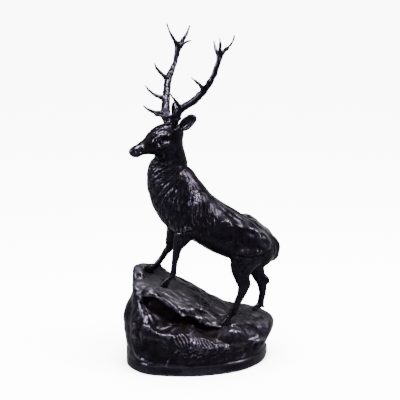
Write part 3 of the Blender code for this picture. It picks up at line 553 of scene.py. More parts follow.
def buildHead(clay):
    clay.margin = 6
    sideways = np.array(headAcross)
    clay.loft(stagBody["head"], headAcross, 5)
    forward = (-0.84, -0.42, -0.3)
    clay.blob((-33, -9, 223.5), (10, 7, 11), (-0.9, -0.45, 0.3), headAcross, 4)
    for side in (-1, 1):
        brow = np.array((-39.5, -12.5, 236.5)) + sideways * 8.6 * side
        socket = np.array((-40.5, -13, 232.8)) + sideways * 9.6 * side
        cheek = np.array((-37, -11.5, 227)) + sideways * 8.8 * side
        nose = np.array((-61.5, -24.5, 222.5)) + sideways * 6.2 * side
        clay.blob(socket, (4.2, 2.8, 2.6), forward, headAcross, 1.2, away=True)
        clay.blob(socket - sideways * 1.6 * side, (2.8, 2.2, 2.4), forward, headAcross, 0.5)
        clay.blob(brow, (5.5, 1.7, 2.2), forward, headAcross, 2)
        clay.blob(cheek, (9, 1.8, 2.4), forward, headAcross, 3)
        clay.blob(nose, (2.2, 1.5, 2), (-0.5, -0.3, 1), headAcross, 0.6, away=True)
    for root, tip, wide, openSide in stagBody["ears"]:
        root, tip = np.array(root, float), np.array(tip, float)
        way = tip - root
        clay.loft([(*root, 3, 3), (*(root + way * 0.3), 3, 3)], level, 2)
        middle = root + way * 0.56
        long = np.linalg.norm(way) * 0.5
        flat = np.cross(unit(way), unit(openSide))
        clay.blob(middle, (long, 2.9, wide), way, flat, 1.5)
        hollow = middle + unit(openSide) * 1.9 + unit(way) * 0.6
        clay.blob(hollow, (long * 0.82, 2.3, wide * 0.74), way, flat, 0.6, away=True)


def buildAntlers(clay):
    clay.margin = 3
    for antler in (farAntler, nearAntler):
        beam, tines = antler[0], antler[1:]
        clay.rod(beam, 2)
        x, y, z, _ = beam[1]
        for turn in range(9):
            angle = 2 * math.pi * turn / 9
            bead = (x + 3.9 * math.cos(angle), y + 3.9 * math.sin(angle), z - 1.5)
            clay.blob(bead, (1.4, 1.4, 1.4), (0, 0, 1), level, 0.6)
        for tine in tines:
            clay.rod(tine, 1.6)


# Forms of the body drawn on the middle plane as the eye sees them: path, half width, height.
bodyLines = {
    "spine": (
        [(15.3, 169.5), (25.6, 161.2), (33.7, 155.5), (42.6, 149.5), (48.5, 145.3), (53, 140.3)], 1.6, 0.7),
    "under the spine": ([(25.6, 157.4), (33.8, 151.4), (42.6, 144.5), (50.1, 139.2)], 3.0, -1.0),
    "over the spine": (
        [(27.8, 162.7), (38.1, 155.9), (48.5, 149.8), (55.9, 145.3), (63.4, 138.4)], 1.8, -0.6),
    "hip bone": (
        [(52.7, 138.4), (56.7, 136.9), (61.2, 133.1), (62.8, 127), (65.1, 120.9), (69.6, 117),
         (74.8, 116.3)], 2.2, 1.5),
    "before the hip": (
        [(52.4, 134.5), (57.2, 130.5), (59.4, 123.2), (62.4, 117.2), (67.5, 113.8)], 2.6, -1.2),
    "rump": ([(63.4, 133.1), (69.4, 127), (74, 120.9)], 5.5, 0.9),
    "last rib": ([(29.4, 146.3), (33, 138.7), (34.4, 129.1), (32.2, 119.3)], 6.0, 1.4),
    "behind the ribs": ([(38.6, 142), (40.5, 134.2), (40.2, 126), (37, 117)], 3.0, -0.7),
    "rib light": ([(29.8, 147), (31, 143.5), (32, 139)], 5.2, 1.9),
    "rib": ([(20.5, 144.8), (22.4, 134.6), (22.5, 124.7)], 2.6, -0.4),
    "fore rib": ([(13.2, 142.8), (15.1, 134.6), (15.4, 124.7)], 2.6, -0.3),
    "flank fold": (
        [(35.2, 110.9), (41.4, 112.8), (48.8, 114.3), (56.3, 113.6), (62.2, 112.8), (66.6, 114.3)], 2.6, 1.0),
    "under the fold": (
        [(35.5, 108.2), (43, 107.9), (50.4, 107.6), (57.8, 107.6), (63.8, 108.2), (68.2, 110.9)], 1.5, -1.5),
    "hamstring": (
        [(75.5, 114.7), (69.7, 110.9), (62.3, 105.8), (54.9, 100.8), (50.5, 96.2), (47.6, 89.2)], 2.2, 0.9),
    "before the hamstring": ([(66, 108), (58, 104), (51, 98.5), (46.5, 94)], 1.8, -0.7),
    "tail": ([(76.9, 120.9), (78.1, 114.7), (77.1, 108.6)], 1.4, -1.3),
    "shin": ([(38.5, 103.9), (40.1, 96.2), (43.2, 86.1)], 3.0, 0.8),
    "elbow": ([(-25.2, 136.1), (-18.5, 135.7), (-11.2, 136.5), (-6.7, 138.4)], 2.6, 1.0),
    "under the elbow": (
        [(-25.9, 133), (-21.5, 132.8), (-15.6, 133.2), (-10.4, 134), (-6.7, 135.3)], 1.3, -1.5),
    "shoulder blade": ([(-7, 176), (-1, 166), (0, 152), (-4, 143)], 4.0, 0.8),
    "behind the shoulder": ([(7, 162), (9, 153), (7, 143), (1, 136)], 4.0, -0.8),
}
headLines = {
    "brow": ([(-44.5, 232.5), (-41.5, 234.3), (-38, 233.6)], 0.9, 0.7),
    "brow hair": ([(-42.8, 234.6), (-38, 238), (-32.7, 241)], 0.8, 0.5),
    "upper hair": ([(-43.3, 237.6), (-39.2, 240.4), (-34.4, 243)], 0.8, 0.5),
    "between the hairs": ([(-43, 236), (-38.6, 239.2), (-33.4, 242)], 0.6, -0.5),
    "tear duct": ([(-43.7, 229.7), (-45.8, 227.6), (-47, 225.2)], 0.8, -0.8),
    "cheek bone": ([(-29.7, 235.4), (-28.6, 230.6), (-28.9, 225.2), (-31, 219.8)], 1.9, 0.8),
    "jaw pit": ([(-38.8, 227), (-38, 225), (-37, 223)], 1.0, -0.7),
    "muzzle": ([(-55.3, 222.2), (-53.6, 219.2), (-52.4, 217.4)], 1.8, 0.8),
    "behind the muzzle": ([(-48.6, 224), (-46.8, 220.4), (-47.3, 217.6)], 1.6, -0.6),
    "nostril": ([(-65, 217), (-64, 216.2), (-62.8, 216.4)], 0.7, -1.1),
    "mouth": ([(-66.4, 214.9), (-62.5, 214.3), (-57.2, 215), (-52.4, 216.3)], 0.55, -0.8),
    "jaw": ([(-51.2, 215.6), (-45.3, 217.4), (-39.4, 217.4), (-34.6, 219.8)], 1.2, 0.5),
    "ear rim": ([(-14, 235.9), (-8.5, 238.2), (-5, 242.2), (-2.8, 247)], 0.7, 0.6),
    "upper ear rim": ([(-16, 241.6), (-12, 246.4), (-7, 250), (-3.6, 250.8)], 0.7, 0.5),
}
# Hair in patches: middle, half sizes, lean, how many, length, half width, height, bend.
hairPatches = [
    (50, 112.5, 15, 2.6, 78, 30, 5, 0.7, 0.18, 0.15),
    (-15, 136, 9, 2.4, 88, 18, 6, 0.7, 0.3, 0.1),
    (2, 158, 10, 17, 98, 60, 13, 0.75, 0.32, 0.06),
    (12, 150, 8, 16, 103, 34, 12, 0.7, 0.26, 0.06),
    (-36, 229, 7, 7, 40, 26, 5, 0.6, 0.3, 0.2),
    (-30, 216, 8, 5, 60, 22, 5, 0.6, 0.3, 0.2),
]


def overMane(x, z):
    # how far above the line where the mane meets the shoulder
    return 0.67 * (z - 196) - 0.74 * (x + 8)


def hairFlow(spot):
    # forward over the nape and throat, straight down on the breast and shoulder
    x, z = spot[0], spot[2]
    beyond = overMane(x, z)
    lean = np.clip(20 + 4 * beyond, -8 - 0.6 * x, 66)
    upper = faded(beyond / 8)
    lean -= upper * (1.2 * np.clip(190 - z, 0, 20) + 26 * faded((x + 20) / 8))
    lean = math.radians(lean)
    return (-math.sin(lean), -0.12 * math.sin(lean), -math.cos(lean))


def buildStag():
    chance = np.random.default_rng(stagBody["seed"])
    clay = Clay((-70, -42, 34), (92, 58, 342), stagBody["step"])
    buildTrunk(clay)
    buildLegs(clay)
    buildHead(clay)
    buildAntlers(clay)
    print("stag clay laid")
    skin = Skin(*clay.surface())
    print("stag skin", len(skin.points), "points")
    skin.relax(3)
    for side in (-1, 1):
        skin.draw(bodyLines.values(), side)
        skin.draw(headLines.values(), side)
    print("body drawn")
    x, y, z = skin.points.T
    back = -10 + 0.62 * (196 - z) - 0.9 * np.clip(y, 0, 20)
    mane = (z < 212 + 0.3 * (x + 40)) & (x > -62) & (x < back) & (z > 137 - 1.25 * (x + 26))
    parts = {
        "neck": mane & (overMane(x, z) > -7) & (x < back - 1.5),
        "breast": mane & (x < 2) & (z > 140),
    }
    for part, spacing, size, wave in stagBody["mane"]:
        skin.locks(skin.scatter(parts[part], spacing, chance), hairFlow, size, wave, chance)
    skin.relax(1, 0.25)
    for side in (-1, 1):
        skin.draw(brushed(hairPatches, chance), side)
    high = skin.points[:, 2] > stagBody["barkAbove"]
    bark = rippled(skin.points * (1, 1, 0.3), 3.4, chance) * high
    skin.raiseBy(0.22 * bark + 0.12 * rippled(skin.points, 7, chance))
    print("mane combed")
    none = np.zeros(len(skin.points))
    marks = {"hollow": skin.hollows(10), "treadSheen": none, "dull": none}
    stag = skin.toMesh("stag_cast", stagBody["triangles"], marks)
    print("stag mesh", len(stag.data.polygons), "faces")
    return stag


# The rock, in squares.
rockBody = {
    "foot": [
        (72, 12), (68, -6), (60, -21), (44, -37), (23, -47), (2, -52), (-20, -53), (-43, -50), (-56, -44),
        (-66, -33), (-72, -20), (-73, -6), (-70, 10), (-62, 24), (-48, 36), (-28, 44), (-5, 48), (18, 49),
        (40, 46), (56, 39), (66, 28),
    ],
    "centre": (-1.0, -2.0),
    "rimHeight": 10.0,
    "rimStep": 0.035,
    "shoulder": 7.0,  # how round the edge of the top is
    "lipThick": 3.0,
    "underLip": [(-60, 66), (-50, 68), (-41, 67), (-32, 61), (-24, 54), (-17, 46), (-8, 44), (2, 40),
                 (14, 36), (34, 34)],
    "hollowOut": 0.72,
    "step": 0.6,
    "triangles": 190000,
    "seed": 5,
}
# How far the sides stand out from the foot at each height, as a share of the foot's own reach: at the left
# end, in the middle and at the right end.
rim = rockBody["rimHeight"]
rimIn = 1 - rockBody["rimStep"]
flareLeft = [(-9, 1.0), (rim, 1.0), (20, 0.995), (30, 1.01), (48, 1.03), (62, 0.975), (76, 0.9), (104, 0.9)]
flareMiddle = [(-9, 1.0), (rim, 1.0), (rim + 2.5, rimIn), (16, 0.97), (30, 1.0), (48, 1.02), (62, 0.97),
               (76, 0.895), (104, 0.905)]
flareRight = [(-9, 1.0), (rim, 1.0), (rim + 1.5, 0.98), (16, 1.0), (30, 1.09), (45, 1.1), (62, 1.0),
              (80, 0.9), (104, 0.8)]
groundX = (-78, -68, -58, -48, -38, -24, -8, 8, 24, 40, 58, 78)
groundY = (-58, -48, -38, -28, -15, -2, 10, 20, 32, 50)
ground = [
    (24, 34, 44, 48, 44, 36, 33, 29, 25, 20, 14, 10),
    (38, 50, 60, 66, 62, 50, 38, 33, 29, 24, 18, 12),
    (48, 66, 76, 82.5, 78, 66, 52, 38, 33, 29, 23, 16),
    (56, 76, 83, 85, 82, 71.5, 62, 42, 36, 34, 29, 22),
    (66, 86, 89, 86, 81.5, 75.5, 65.5, 50, 42, 42, 37, 29),
    (76, 98, 95, 88, 83, 77.5, 68.5, 56.5, 47.5, 45, 43, 37),
    (80, 96, 90, 88, 84.5, 79, 70.5, 60.5, 52, 47.4, 47.5, 41),
    (78, 92, 92, 91, 86.5, 79.8, 71.8, 61.6, 54, 48.6, 48, 42),
    (66, 82, 90, 92, 86.5, 78.5, 70, 60, 53, 48, 46, 37),
    (46, 58, 72, 76, 72, 64, 56, 49, 43, 39, 35, 29),
]
# The front lip of the ramp: x, y, z, and how high and deep the hollow under it is.
lip = [
    (-54, -31, 80.5, 5, 8), (-48, -35, 82.5, 10, 11), (-43, -38, 82, 14, 13), (-34.5, -38, 76, 14.5, 15),
    (-25.5, -37, 68.5, 11.5, 15), (-19, -35, 61.5, 8, 15), (-13, -33, 60.5, 8, 15), (-8, -31, 61, 8, 15),
    (-3, -29, 57, 7, 15), (1, -27, 51.5, 5.5, 14), (7, -24, 47.5, 5, 14), (14, -22, 46, 4.5, 12),
    (24, -20, 44, 3.5, 9), (34, -17, 43, 2.5, 6),
]
# Soft bays under the overhanging rock, and the two spurs on the left that are laid before the hollow is cut.
recesses = [
    [(-52, -50, 27, 10, 6), (-44, -54, 25, 11, 8), (-34, -57, 22, 8, 7), (-20, -59, 19, 4, 5)],
    [(8, -57, 21, 4, 7), (24, -54, 21, 7, 8), (38, -48, 22, 7, 8), (50, -37, 22, 6, 7), (60, -27, 21, 3, 4)],
]
spurs = [
    [(-59, -18, 82, 4, 4), (-58, -23, 74, 5, 6), (-56.5, -28, 66, 6, 7), (-53, -33, 57, 7, 8),
     (-50, -38, 49, 6, 7)],
    [(-64, -14, 58, 8, 8), (-65, -17, 45, 9, 9), (-63, -22, 33, 8, 9), (-61, -26, 24, 5, 6)],
]
crown = [(-59, -8, 92, 5, 5), (-59.5, -2, 94.5, 4.8, 4.8), (-59, 6, 94.5, 4.6, 4.6),
         (-56, 15, 92.5, 4.6, 4.6), (-51, 22, 90, 4.6, 4.6), (-45, 28, 86.5, 4.6, 4.6), (-38, 32, 82.5, 4, 4)]
boulders = [
    ((-49, -39, 52), (7, 6, 6), (1, 0, 0.2)),
    ((-19, -37, 33), (19, 11, 11.5), (1, 0, -0.1)),
    ((-3, -40, 30), (20, 9, 10), (1, 0, -0.2)),
    ((33, -31, 34), (15, 10, 10), (1, 0.15, -0.1)),
    ((64, 3, 32), (10, 9, 9), (0.5, 0.6, 0)),
    ((-9, -29, 59.5), (5, 3.4, 3.4), (1, 0, 0.2)),
    ((0, -26, 51.5), (4.5, 3, 3.2), (1, 0, -0.7)),
]
# Forms of the rock drawn as the eye sees them: path, half width, height.
rockLines = {
    "lip": ([(-55.2, 69.6), (-48, 69.3), (-40.9, 68.5), (-31.7, 62.6), (-23.6, 55.1), (-17, 47)], 1.3, 0.8),
    "lump on the lip": ([(-19.5, 53), (-15, 52.6), (-11.3, 52.4)], 3.2, 2.0),
    "second lump": ([(-8, 52.8), (-5, 52.5), (-2, 52)], 2.6, 1.8),
    "low lump": ([(2.2, 41.8), (4.1, 40.5), (6, 39.4)], 2.8, 1.9),
    "lower lump": ([(9, 37.2), (11, 36.6), (13, 37)], 2.2, 1.2),
    "lowest lump": ([(15, 38.6), (17, 38.3), (19.5, 38.6)], 2.2, 1.1),
    "crest": ([(0, 54.5), (5.1, 52.4), (11.2, 48.1), (17.4, 43.8)], 2.2, 1.1),
    "under the crest": ([(-1.1, 49.2), (5.1, 44.8), (13.3, 41.6)], 1.8, -1.1),
    "ridge": (
        [(-64.4, 69.6), (-58.8, 65.3), (-55.3, 57.8), (-51.3, 49.2), (-47.3, 40.5), (-44.3, 31.8)], 1.7, 1.2),
    "shining lump": ([(-59.5, 53), (-57.4, 51.3), (-56, 48)], 2.8, 1.0),
    "knob": ([(-53, 35), (-51, 33), (-48.5, 31)], 3.2, 1.6),
    "left knob": ([(-67, 35), (-65.9, 32.9), (-65, 30)], 3.4, 1.5),
    "low knob": ([(-67, 25), (-66, 23), (-65.5, 20)], 3.2, 1.2),
    "inner knob": ([(-61.5, 27), (-59.8, 25.3), (-58, 23)], 3.0, 1.3),
    "between the knobs": ([(-58, 44), (-60, 34), (-62.5, 29), (-61.5, 18)], 2.2, -1.2),
    "edge of the left bay": (
        [(-68.2, 13.3), (-65.3, 4.5), (-60.2, -2.1), (-53, -5.4), (-45, -6.6)], 1.6, 1.3),
    "left bay": ([(-56, 14), (-48, 7), (-38, 1), (-28, -2)], 6.5, -1.8),
    "fern": ([(-31, 18.8), (-27.9, 26.4), (-22.7, 31.8), (-15.5, 33.5), (-9.3, 29.7)], 2.4, 1.2),
    "under the leaf": ([(3, 24.5), (10.3, 22), (18, 17), (23, 9)], 1.4, -0.9),
    "leaf": ([(3, 21.5), (10.3, 18.3), (17.5, 13.8), (20.6, 8.9)], 1.3, 1.0),
    "leaf edge": ([(16.4, 19.8), (19, 14.4), (20.6, 8.9)], 1.0, 1.2),
    "arch": ([(27.8, 22), (31.9, 27.5), (38, 30.2), (44.2, 29.7), (48.4, 25.3), (51.5, 18.8)], 3.4, 0.6),
    "right crease": ([(53.7, 11.8), (61.8, 18.4), (69, 20.5)], 1.6, 1.3),
    "under the crease": ([(56, 8), (62.9, 13.4), (69.1, 15)], 2.6, -1.6),
    "right dimple": ([(55, 43), (62.5, 45), (68, 45)], 4.0, -1.6),
    "right bay": ([(30, -1), (43.4, 2.3), (53.7, 6.7)], 4.5, -1.2),
    "right knob": ([(28, 11.6), (30, 11), (33, 12)], 2.4, 1.3),
    "middle knob": ([(20, 12.6), (21.6, 12.2), (23, 11)], 1.8, 1.0),
}
# The far side is plainer: broad ledges, a seam and swells.
backLines = {
    "ledge": ([(-58, 62), (-40, 60), (-20, 50), (0, 42), (20, 36), (44, 30)], 4.2, 1.3),
    "under the ledge": ([(-52, 53), (-34, 51), (-14, 41), (6, 33), (28, 27), (50, 22)], 4.6, -1.5),
    "ridge": ([(-20, 50), (-26, 38), (-30, 26), (-28, 14)], 3.8, 1.2),
    "seam": ([(10, 40), (4, 30), (4, 20), (10, 12)], 3.2, -1.1),
    "low ledge": ([(-60, 26), (-44, 19), (-24, 16), (-4, 18)], 4.0, 1.1),
    "swell": ([(30, 30), (38, 22), (50, 16)], 5.0, 1.2),
    "left swell": ([(-54, 44), (-46, 36), (-40, 28)], 5.0, 1.1),
}
# Fans of strokes between key strokes: the keys, how many between each two, half width, height.
rockFans = [
    ([[(-25, 24), (-23, 17), (-18, 11.5)], [(-15, 28), (-8.5, 21), (-7, 10.5)],
      [(0.5, 21.5), (2.5, 15.5), (1, 10.5)]], 4, 0.9, 0.9),
    ([[(4.5, 20), (6, 15), (10, 10)], [(13, 18.5), (16, 14), (19.5, 9)]], 3, 0.9, 0.8),
    ([[(-14, 33), (-9, 36), (-4, 35)], [(-7, 27), (-2, 31), (4, 30)]], 3, 0.9, 0.7),
    ([[(-62, 42), (-66, 34), (-67, 22)], [(-54, 44), (-57, 34), (-58, 22)]], 5, 1.0, -0.2),
]
# Strokes in patches: middle, half sizes, lean, how many, length, half width, height, bend.
rockPatches = [
    (-12, 70, 30, 8, -31, 30, 26, 1.1, -0.45, 0.04),
    (14, 56, 26, 7, -31, 24, 24, 1.1, 0.45, 0.04),
    (-4, 66, 30, 9, -31, 12, 22, 2.4, 0.7, 0.04),
    (40, 45, 20, 6, -12, 14, 20, 1.1, -0.35, 0.05),
    (-47, 74, 9, 4, -20, 12, 6, 1.0, 0.3, 0.4),
    (-58, 86, 8, 12, -75, 6, 12, 1.8, -0.15, 0.1),
    (-2, 3, 24, 6, 20, 40, 5, 0.9, 0.5, 0.6),
    (34, 10, 18, 6, 10, 18, 7, 1.2, 0.4, 0.5),
    (-42, 12, 12, 6, -30, 12, 8, 1.4, 0.25, 0.3),
]


def groundHeight(x, y):
    # a smooth sheet through the table of heights
    table = np.array(ground, float)

    def place(value, marks):
        position = np.interp(value, marks, np.arange(len(marks)))
        cell = np.clip(np.floor(position).astype(int), 0, len(marks) - 2)
        return cell, position - cell

    def weights(t):
        return (
            -0.5 * t + t**2 - 0.5 * t**3,
            1 - 2.5 * t**2 + 1.5 * t**3,
            0.5 * t + 2 * t**2 - 1.5 * t**3,
            -0.5 * t**2 + 0.5 * t**3,
        )

    column, u = place(x, groundX)
    row, v = place(y, groundY)
    height = 0
    for i, rowWeight in enumerate(weights(v)):
        for j, columnWeight in enumerate(weights(u)):
            r = np.clip(row + i - 1, 0, len(groundY) - 1)
            c = np.clip(column + j - 1, 0, len(groundX) - 1)
            height = height + rowWeight * columnWeight * table[r, c]
    return height


def buildRock():
    clay = Clay((-84, -64, -9), (84, 60, 108), rockBody["step"])
    cut, (x, y, z) = clay.window((-90, -90, -90), (120, 120, 120))
    centre = rockBody["centre"]
    outline = eased([*rockBody["foot"], rockBody["foot"][0]], 6)[:, :2] - np.array(centre)
    turn = np.arctan2(outline[:, 1], outline[:, 0])
    order = np.argsort(turn)
    reach = np.hypot(outline[:, 0], outline[:, 1])[order]
    off, deep = x - centre[0], y - centre[1]
    edge = np.interp(np.arctan2(deep, off), turn[order], reach, period=2 * math.pi)
    flare = np.interp(z, *zip(*flareMiddle))
    flare = flare + (np.interp(z, *zip(*flareLeft)) - flare) * faded(-x / 10 - 5.2)
    flare = flare + (np.interp(z, *zip(*flareRight)) - flare) * faded(x / 60 + 0.2)
    wall = np.hypot(off, deep) - edge * flare
    top = (z - groundHeight(x + 0 * y, y + 0 * x)) * 0.86
    shoulder = rockBody["shoulder"]
    near = np.maximum(shoulder - np.abs(wall - top), 0)
    mass = np.maximum(np.maximum(wall, top) + near * near / (4 * shoulder), -z)
    clay.values[:] = np.clip(mass, -farAway, farAway)
    for rows in spurs:
        clay.loft(rows, level, 6)
    clay.loft(crown, level, 5)
    thick, out = rockBody["lipThick"], rockBody["hollowOut"]
    hollow = [(x + 1, y - out * wide, z - thick - high, high, wide) for x, y, z, high, wide in lip]
    clay.loft(hollow, level, 1.2, away=True)
    for rows in recesses:
        clay.loft(rows, level, 5, away=True)
    for middle, radii, axis in boulders:
        clay.blob(middle, radii, axis, level, 5)
    clay.values[:] = np.maximum(clay.values, -z)
    print("rock clay laid")
    skin = Skin(*clay.surface())
    print("rock skin", len(skin.points), "points")
    skin.relax(2)
    chance = np.random.default_rng(rockBody["seed"])
    above = faded((skin.points[:, 2] - rim - 1) / 3)
    front = faded(-skin.points[:, 1] / 20 + 0.3) * above
    back = faded(skin.points[:, 1] / 20 - 0.6) * above
    swell = 0.6 * rippled(skin.points, 20, chance) + 0.2 * rippled(skin.points, 9, chance)
    skin.raiseBy((front + back) * swell)
    skin.draw([*rockLines.values(), *fanned(rockFans)], -1)
    skin.draw(backLines.values(), 1)
    for side in (-1, 1):
        skin.draw(brushed(rockPatches, chance), side)
    skin.raiseBy(above * 0.07 * rippled(skin.points, 4.2, chance) * front)
    print("rock drawn")
    # painted sheen: the treads that face up are painted a lighter grey, as the lamp overhead would light
    # them, and made duller
    treads = faded((skin.relaxedNormals(6)[:, 2] - 0.55) / 0.25)
    # painted shade: the band under the lip is turned toward the near-black brown, and made duller
    seen, high = skin.cast(-1)
    under = np.interp(seen, *zip(*rockBody["underLip"])) - high
    lipShade = faded(under / 3) * faded((26 - under) / 8) * (skin.points[:, 1] < 0)
    lipShade *= faded((seen + 52) / 6) * faded((34 - seen) / 10)
    treads *= 1 - faded((under + 4) / 3) * (seen > -56)
    # the band under the lip is added to the hollow mark as painted shade, which turns it toward the brown
    deep = skin.hollows(10) + 0.3 * skin.hollows(60) + 0.3 * lipShade
    marks = {"hollow": deep, "treadSheen": treads, "dull": lipShade}
    rock = skin.toMesh("rock_cast", rockBody["triangles"], marks)
    print("rock mesh", len(rock.data.polygons), "faces")
    return rock


def hexColour(code):
    parts = [int(code[i : i + 2], 16) / 255 for i in (1, 3, 5)]
    return (*[p / 12.92 if p <= 0.04045 else ((p + 0.055) / 1.055) ** 2.4 for p in parts], 1.0)


def addNode(tree, kind, values=None, links=None, **settings):
    node = tree.nodes.new(kind)
    for name, value in settings.items():
        setattr(node, name, value)
    for socket, value in (values or {}).items():
        node.inputs[socket].default_value = value
    for socket, source in (links or {}).items():
        tree.links.new(source, node.inputs[socket])
    return node


# Statuary bronze, cast and chased, blackened by a liver of sulphur patina and waxed: near black, brown where
# the wax has gathered in the hollows, and brighter where cloths have rubbed the crests. On the rock the brown
# also paints shade into the band under the lip, and a lighter grey painted on the treads that face up is a
# painted sheen.
patina = {
    "black": "#161317",
    "violet": "#201c26",
    # near-black brown: patina in the hollows, and on the rock painted shade in the band under the lip
    "brown": "#0e0909",
    # a lighter grey, painted on the rock's treads that face up as sheen from the lamp overhead
    "rubbed": "#49454f",
    "sheenGrey": "#2f2d31",
    "mottleMm": 18.0,
    "cloudy": (0.35, 0.68),  # from this much to this much mottle, black turns to violet
    "grainMm": 1.6,
    "grainDeep": 0.0003,  # metres
    "sunk": (0.03, 0.4),  # squares under the skin's own average, from no brown to all brown; on the rock it also carries the painted shade under the lip
    "proud": (-0.06, -0.5),  # squares over it, from no rubbing to the brightest
    "rougher": (0.14, 0.2, 0.25),  # in the hollows, on the treads painted with a sheen and in the painted shade under the lip
    "metal": 0.97,
    "wax": 0.03,
    "waxRoughness": 0.2,
}


def bronzePatina(name, colours, shine, dull):
    material = bpy.data.materials.new(name)
    material.use_nodes = True
    tree = material.node_tree
    shader = tree.nodes["Principled BSDF"]
    place = addNode(tree, "ShaderNodeTexCoord").outputs["Object"]
    hollow, treadSheen, lipShade = [
        addNode(tree, "ShaderNodeAttribute", attribute_name=mark).outputs["Fac"]
        for mark in ("hollow", "treadSheen", "dull")
    ]
    mottle = addNode(tree, "ShaderNodeTexNoise",
                     {"Scale": 1000 / colours["mottleMm"], "Detail": 5.0, "Roughness": 0.6},
                     {"Vector": place}).outputs["Fac"]
    grain = addNode(tree, "ShaderNodeTexNoise", {"Scale": 1000 / colours["grainMm"], "Detail": 3.0},
                    {"Vector": place}).outputs["Fac"]
    cloud, sunk, proud = [
        addNode(tree, "ShaderNodeMapRange", {"From Min": colours[span][0], "From Max": colours[span][1]},
                {"Value": source}).outputs["Result"]
        for span, source in (("cloudy", mottle), ("sunk", hollow), ("proud", hollow))
    ]
    base = addNode(tree, "ShaderNodeMix", {6: hexColour(colours["black"]), 7: hexColour(colours["violet"])},
                   {0: cloud}, data_type="RGBA").outputs[2]
    # laid over the base: the painted sheen on the treads, the brown of the hollows and of the painted shade
    # under the lip, the rubbed crests
    for colour, share in (("sheenGrey", treadSheen), ("brown", sunk), ("rubbed", proud)):
        base = addNode(tree, "ShaderNodeMix", {7: hexColour(colours[colour])}, {0: share, 6: base},
                       data_type="RGBA").outputs[2]
    tree.links.new(base, shader.inputs["Base Color"])
    rough = addNode(tree, "ShaderNodeMapRange", {"To Min": shine, "To Max": dull},
                    {"Value": mottle}).outputs["Result"]
    for share, amount in zip((sunk, treadSheen, lipShade), colours["rougher"]):
        more = addNode(tree, "ShaderNodeMath", {1: amount}, {0: share}, operation="MULTIPLY").outputs[0]
        rough = addNode(tree, "ShaderNodeMath", {}, {0: rough, 1: more}, operation="ADD").outputs[0]
    tree.links.new(rough, shader.inputs["Roughness"])
    bump = addNode(tree, "ShaderNodeBump", {"Strength": 0.2, "Distance": colours["grainDeep"]},
                   {"Height": grain}).outputs["Normal"]
    tree.links.new(bump, shader.inputs["Normal"])
    shader.inputs["Metallic"].default_value = colours["metal"]
    shader.inputs["Coat Weight"].default_value = colours["wax"]
    shader.inputs["Coat Roughness"].default_value = colours["waxRoughness"]
    return material


# The studio: a pale paper floor, soft boxes overhead and at both sides, and a room that is dark in the metal
# but for the pale wall behind.
studio = {
    "floorRadius": 40.0,
    "floorColour": "#f2f2f5",
    "paperFront": (-1.1, -0.35),  # the metal sees the paper from black to its full share across this
    "paperInMetal": 0.04,
    "room": 12.0,
    "roomColour": "#f4f5fa",
    "roomInMetal": 0.03,
    "wallInMetal": 1.0,
    "wallBehind": (0.3, 0.8),  # the wall comes in as the way turns to the back, and down from the ceiling
    "wallLow": (0.55, 0.2),
    "aim": (0.0, 0.0, 0.42),
    "boxes": [  # place, width, height, watts, colour
        ((0.2, -0.3, 2.2), 0.7, 0.4, 190, "#fdfbff"),
        ((-2.0, -0.75, 1.4), 0.3, 0.8, 100, "#f6f8ff"),
        ((1.9, -0.6, 1.7), 0.4, 0.8, 120, "#ffffff"),
    ],
}


def paperSweep(name):
    # matt white paper, which the metal mirrors only near the figure
    material = bpy.data.materials.new(name)
    material.use_nodes = True
    tree = material.node_tree
    shader = tree.nodes["Principled BSDF"]
    shader.inputs["Base Color"].default_value = hexColour(studio["floorColour"])
    shader.inputs["Roughness"].default_value = 0.9
    shader.inputs["Specular IOR Level"].default_value = 0.1
    place = addNode(tree, "ShaderNodeTexCoord").outputs["Object"]
    depth = addNode(tree, "ShaderNodeSeparateXYZ", {}, {0: place}).outputs["Y"]
    front, back = studio["paperFront"]
    hidden = addNode(tree, "ShaderNodeMapRange",
                     {"From Min": front, "From Max": back, "To Min": 1, "To Max": 1 - studio["paperInMetal"]},
                     {"Value": depth}).outputs["Result"]
    glossy = addNode(tree, "ShaderNodeLightPath").outputs["Is Glossy Ray"]
    share = addNode(tree, "ShaderNodeMath", {}, {0: hidden, 1: glossy}, operation="MULTIPLY").outputs[0]
    black = addNode(tree, "ShaderNodeBsdfDiffuse", {"Color": (0, 0, 0, 1)}).outputs[0]
    mixed = addNode(tree, "ShaderNodeMixShader", {}, {0: share, 1: shader.outputs[0], 2: black}).outputs[0]
    tree.links.new(mixed, tree.nodes["Material Output"].inputs["Surface"])
    return material


stag = buildStag()
stag.data.materials.append(bronzePatina("waxed_bronze_patina", patina, 0.21, 0.36))
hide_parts("stag")
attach(stag, "root")

rock = buildRock()
rock.data.materials.append(bronzePatina("rubbed_bronze_patina", patina, 0.2, 0.38))
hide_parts("rock_base")
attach(rock, "root")

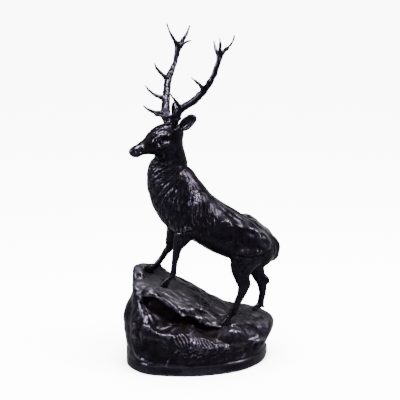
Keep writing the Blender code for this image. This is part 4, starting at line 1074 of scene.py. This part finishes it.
bpy.ops.mesh.primitive_circle_add(vertices=96, radius=studio["floorRadius"], fill_type="NGON")
floor = bpy.context.object
floor.name = "studio_floor"
floor.data.materials.append(paperSweep("paper_sweep"))

for number, (place, width, height, watts, colour) in enumerate(studio["boxes"]):
    bpy.ops.object.light_add(type="AREA", location=place)
    lamp = bpy.context.object
    lamp.name = f"soft_box_{number}"
    lamp.data.shape = "RECTANGLE"
    lamp.data.size = width
    lamp.data.size_y = height
    lamp.data.energy = watts
    lamp.data.color = hexColour(colour)[:3]
    lamp.rotation_euler = (Vector(studio["aim"]) - Vector(place)).to_track_quat("-Z", "Y").to_euler()

world = bpy.data.worlds.new("studio_room")
world.use_nodes = True
bpy.context.scene.world = world
sky = world.node_tree
light = sky.nodes["Background"]
light.inputs["Color"].default_value = hexColour(studio["roomColour"])
way = addNode(sky, "ShaderNodeSeparateXYZ", {}, {0: addNode(sky, "ShaderNodeTexCoord").outputs["Generated"]})
behind, low = [
    addNode(sky, "ShaderNodeMapRange", {"From Min": studio[span][0], "From Max": studio[span][1]},
            {"Value": way.outputs[axis]}).outputs["Result"]
    for span, axis in (("wallBehind", "Y"), ("wallLow", "Z"))
]
wall = addNode(sky, "ShaderNodeMath", {}, {0: behind, 1: low}, operation="MULTIPLY").outputs[0]
mirrored = addNode(sky, "ShaderNodeMapRange",
                   {"To Min": studio["roomInMetal"], "To Max": studio["wallInMetal"]},
                   {"Value": wall}).outputs["Result"]
glossy = addNode(sky, "ShaderNodeLightPath").outputs["Is Glossy Ray"]
strength = addNode(sky, "ShaderNodeMapRange", {"To Min": studio["room"]},
                   {"Value": glossy, "To Max": mirrored}).outputs["Result"]
sky.links.new(strength, light.inputs["Strength"])

bpy.ops.object.camera_add(location=Vector(eye * square), rotation=(math.radians(90) - tilt, 0, 0))
camera = bpy.context.object
camera.data.sensor_width = viewpoint["sensor"]
camera.data.lens = viewpoint["sensor"] * viewpoint["distance"] / viewpoint["frame"]
camera.data.clip_end = 100
bpy.context.scene.camera = camera
print("studio set")
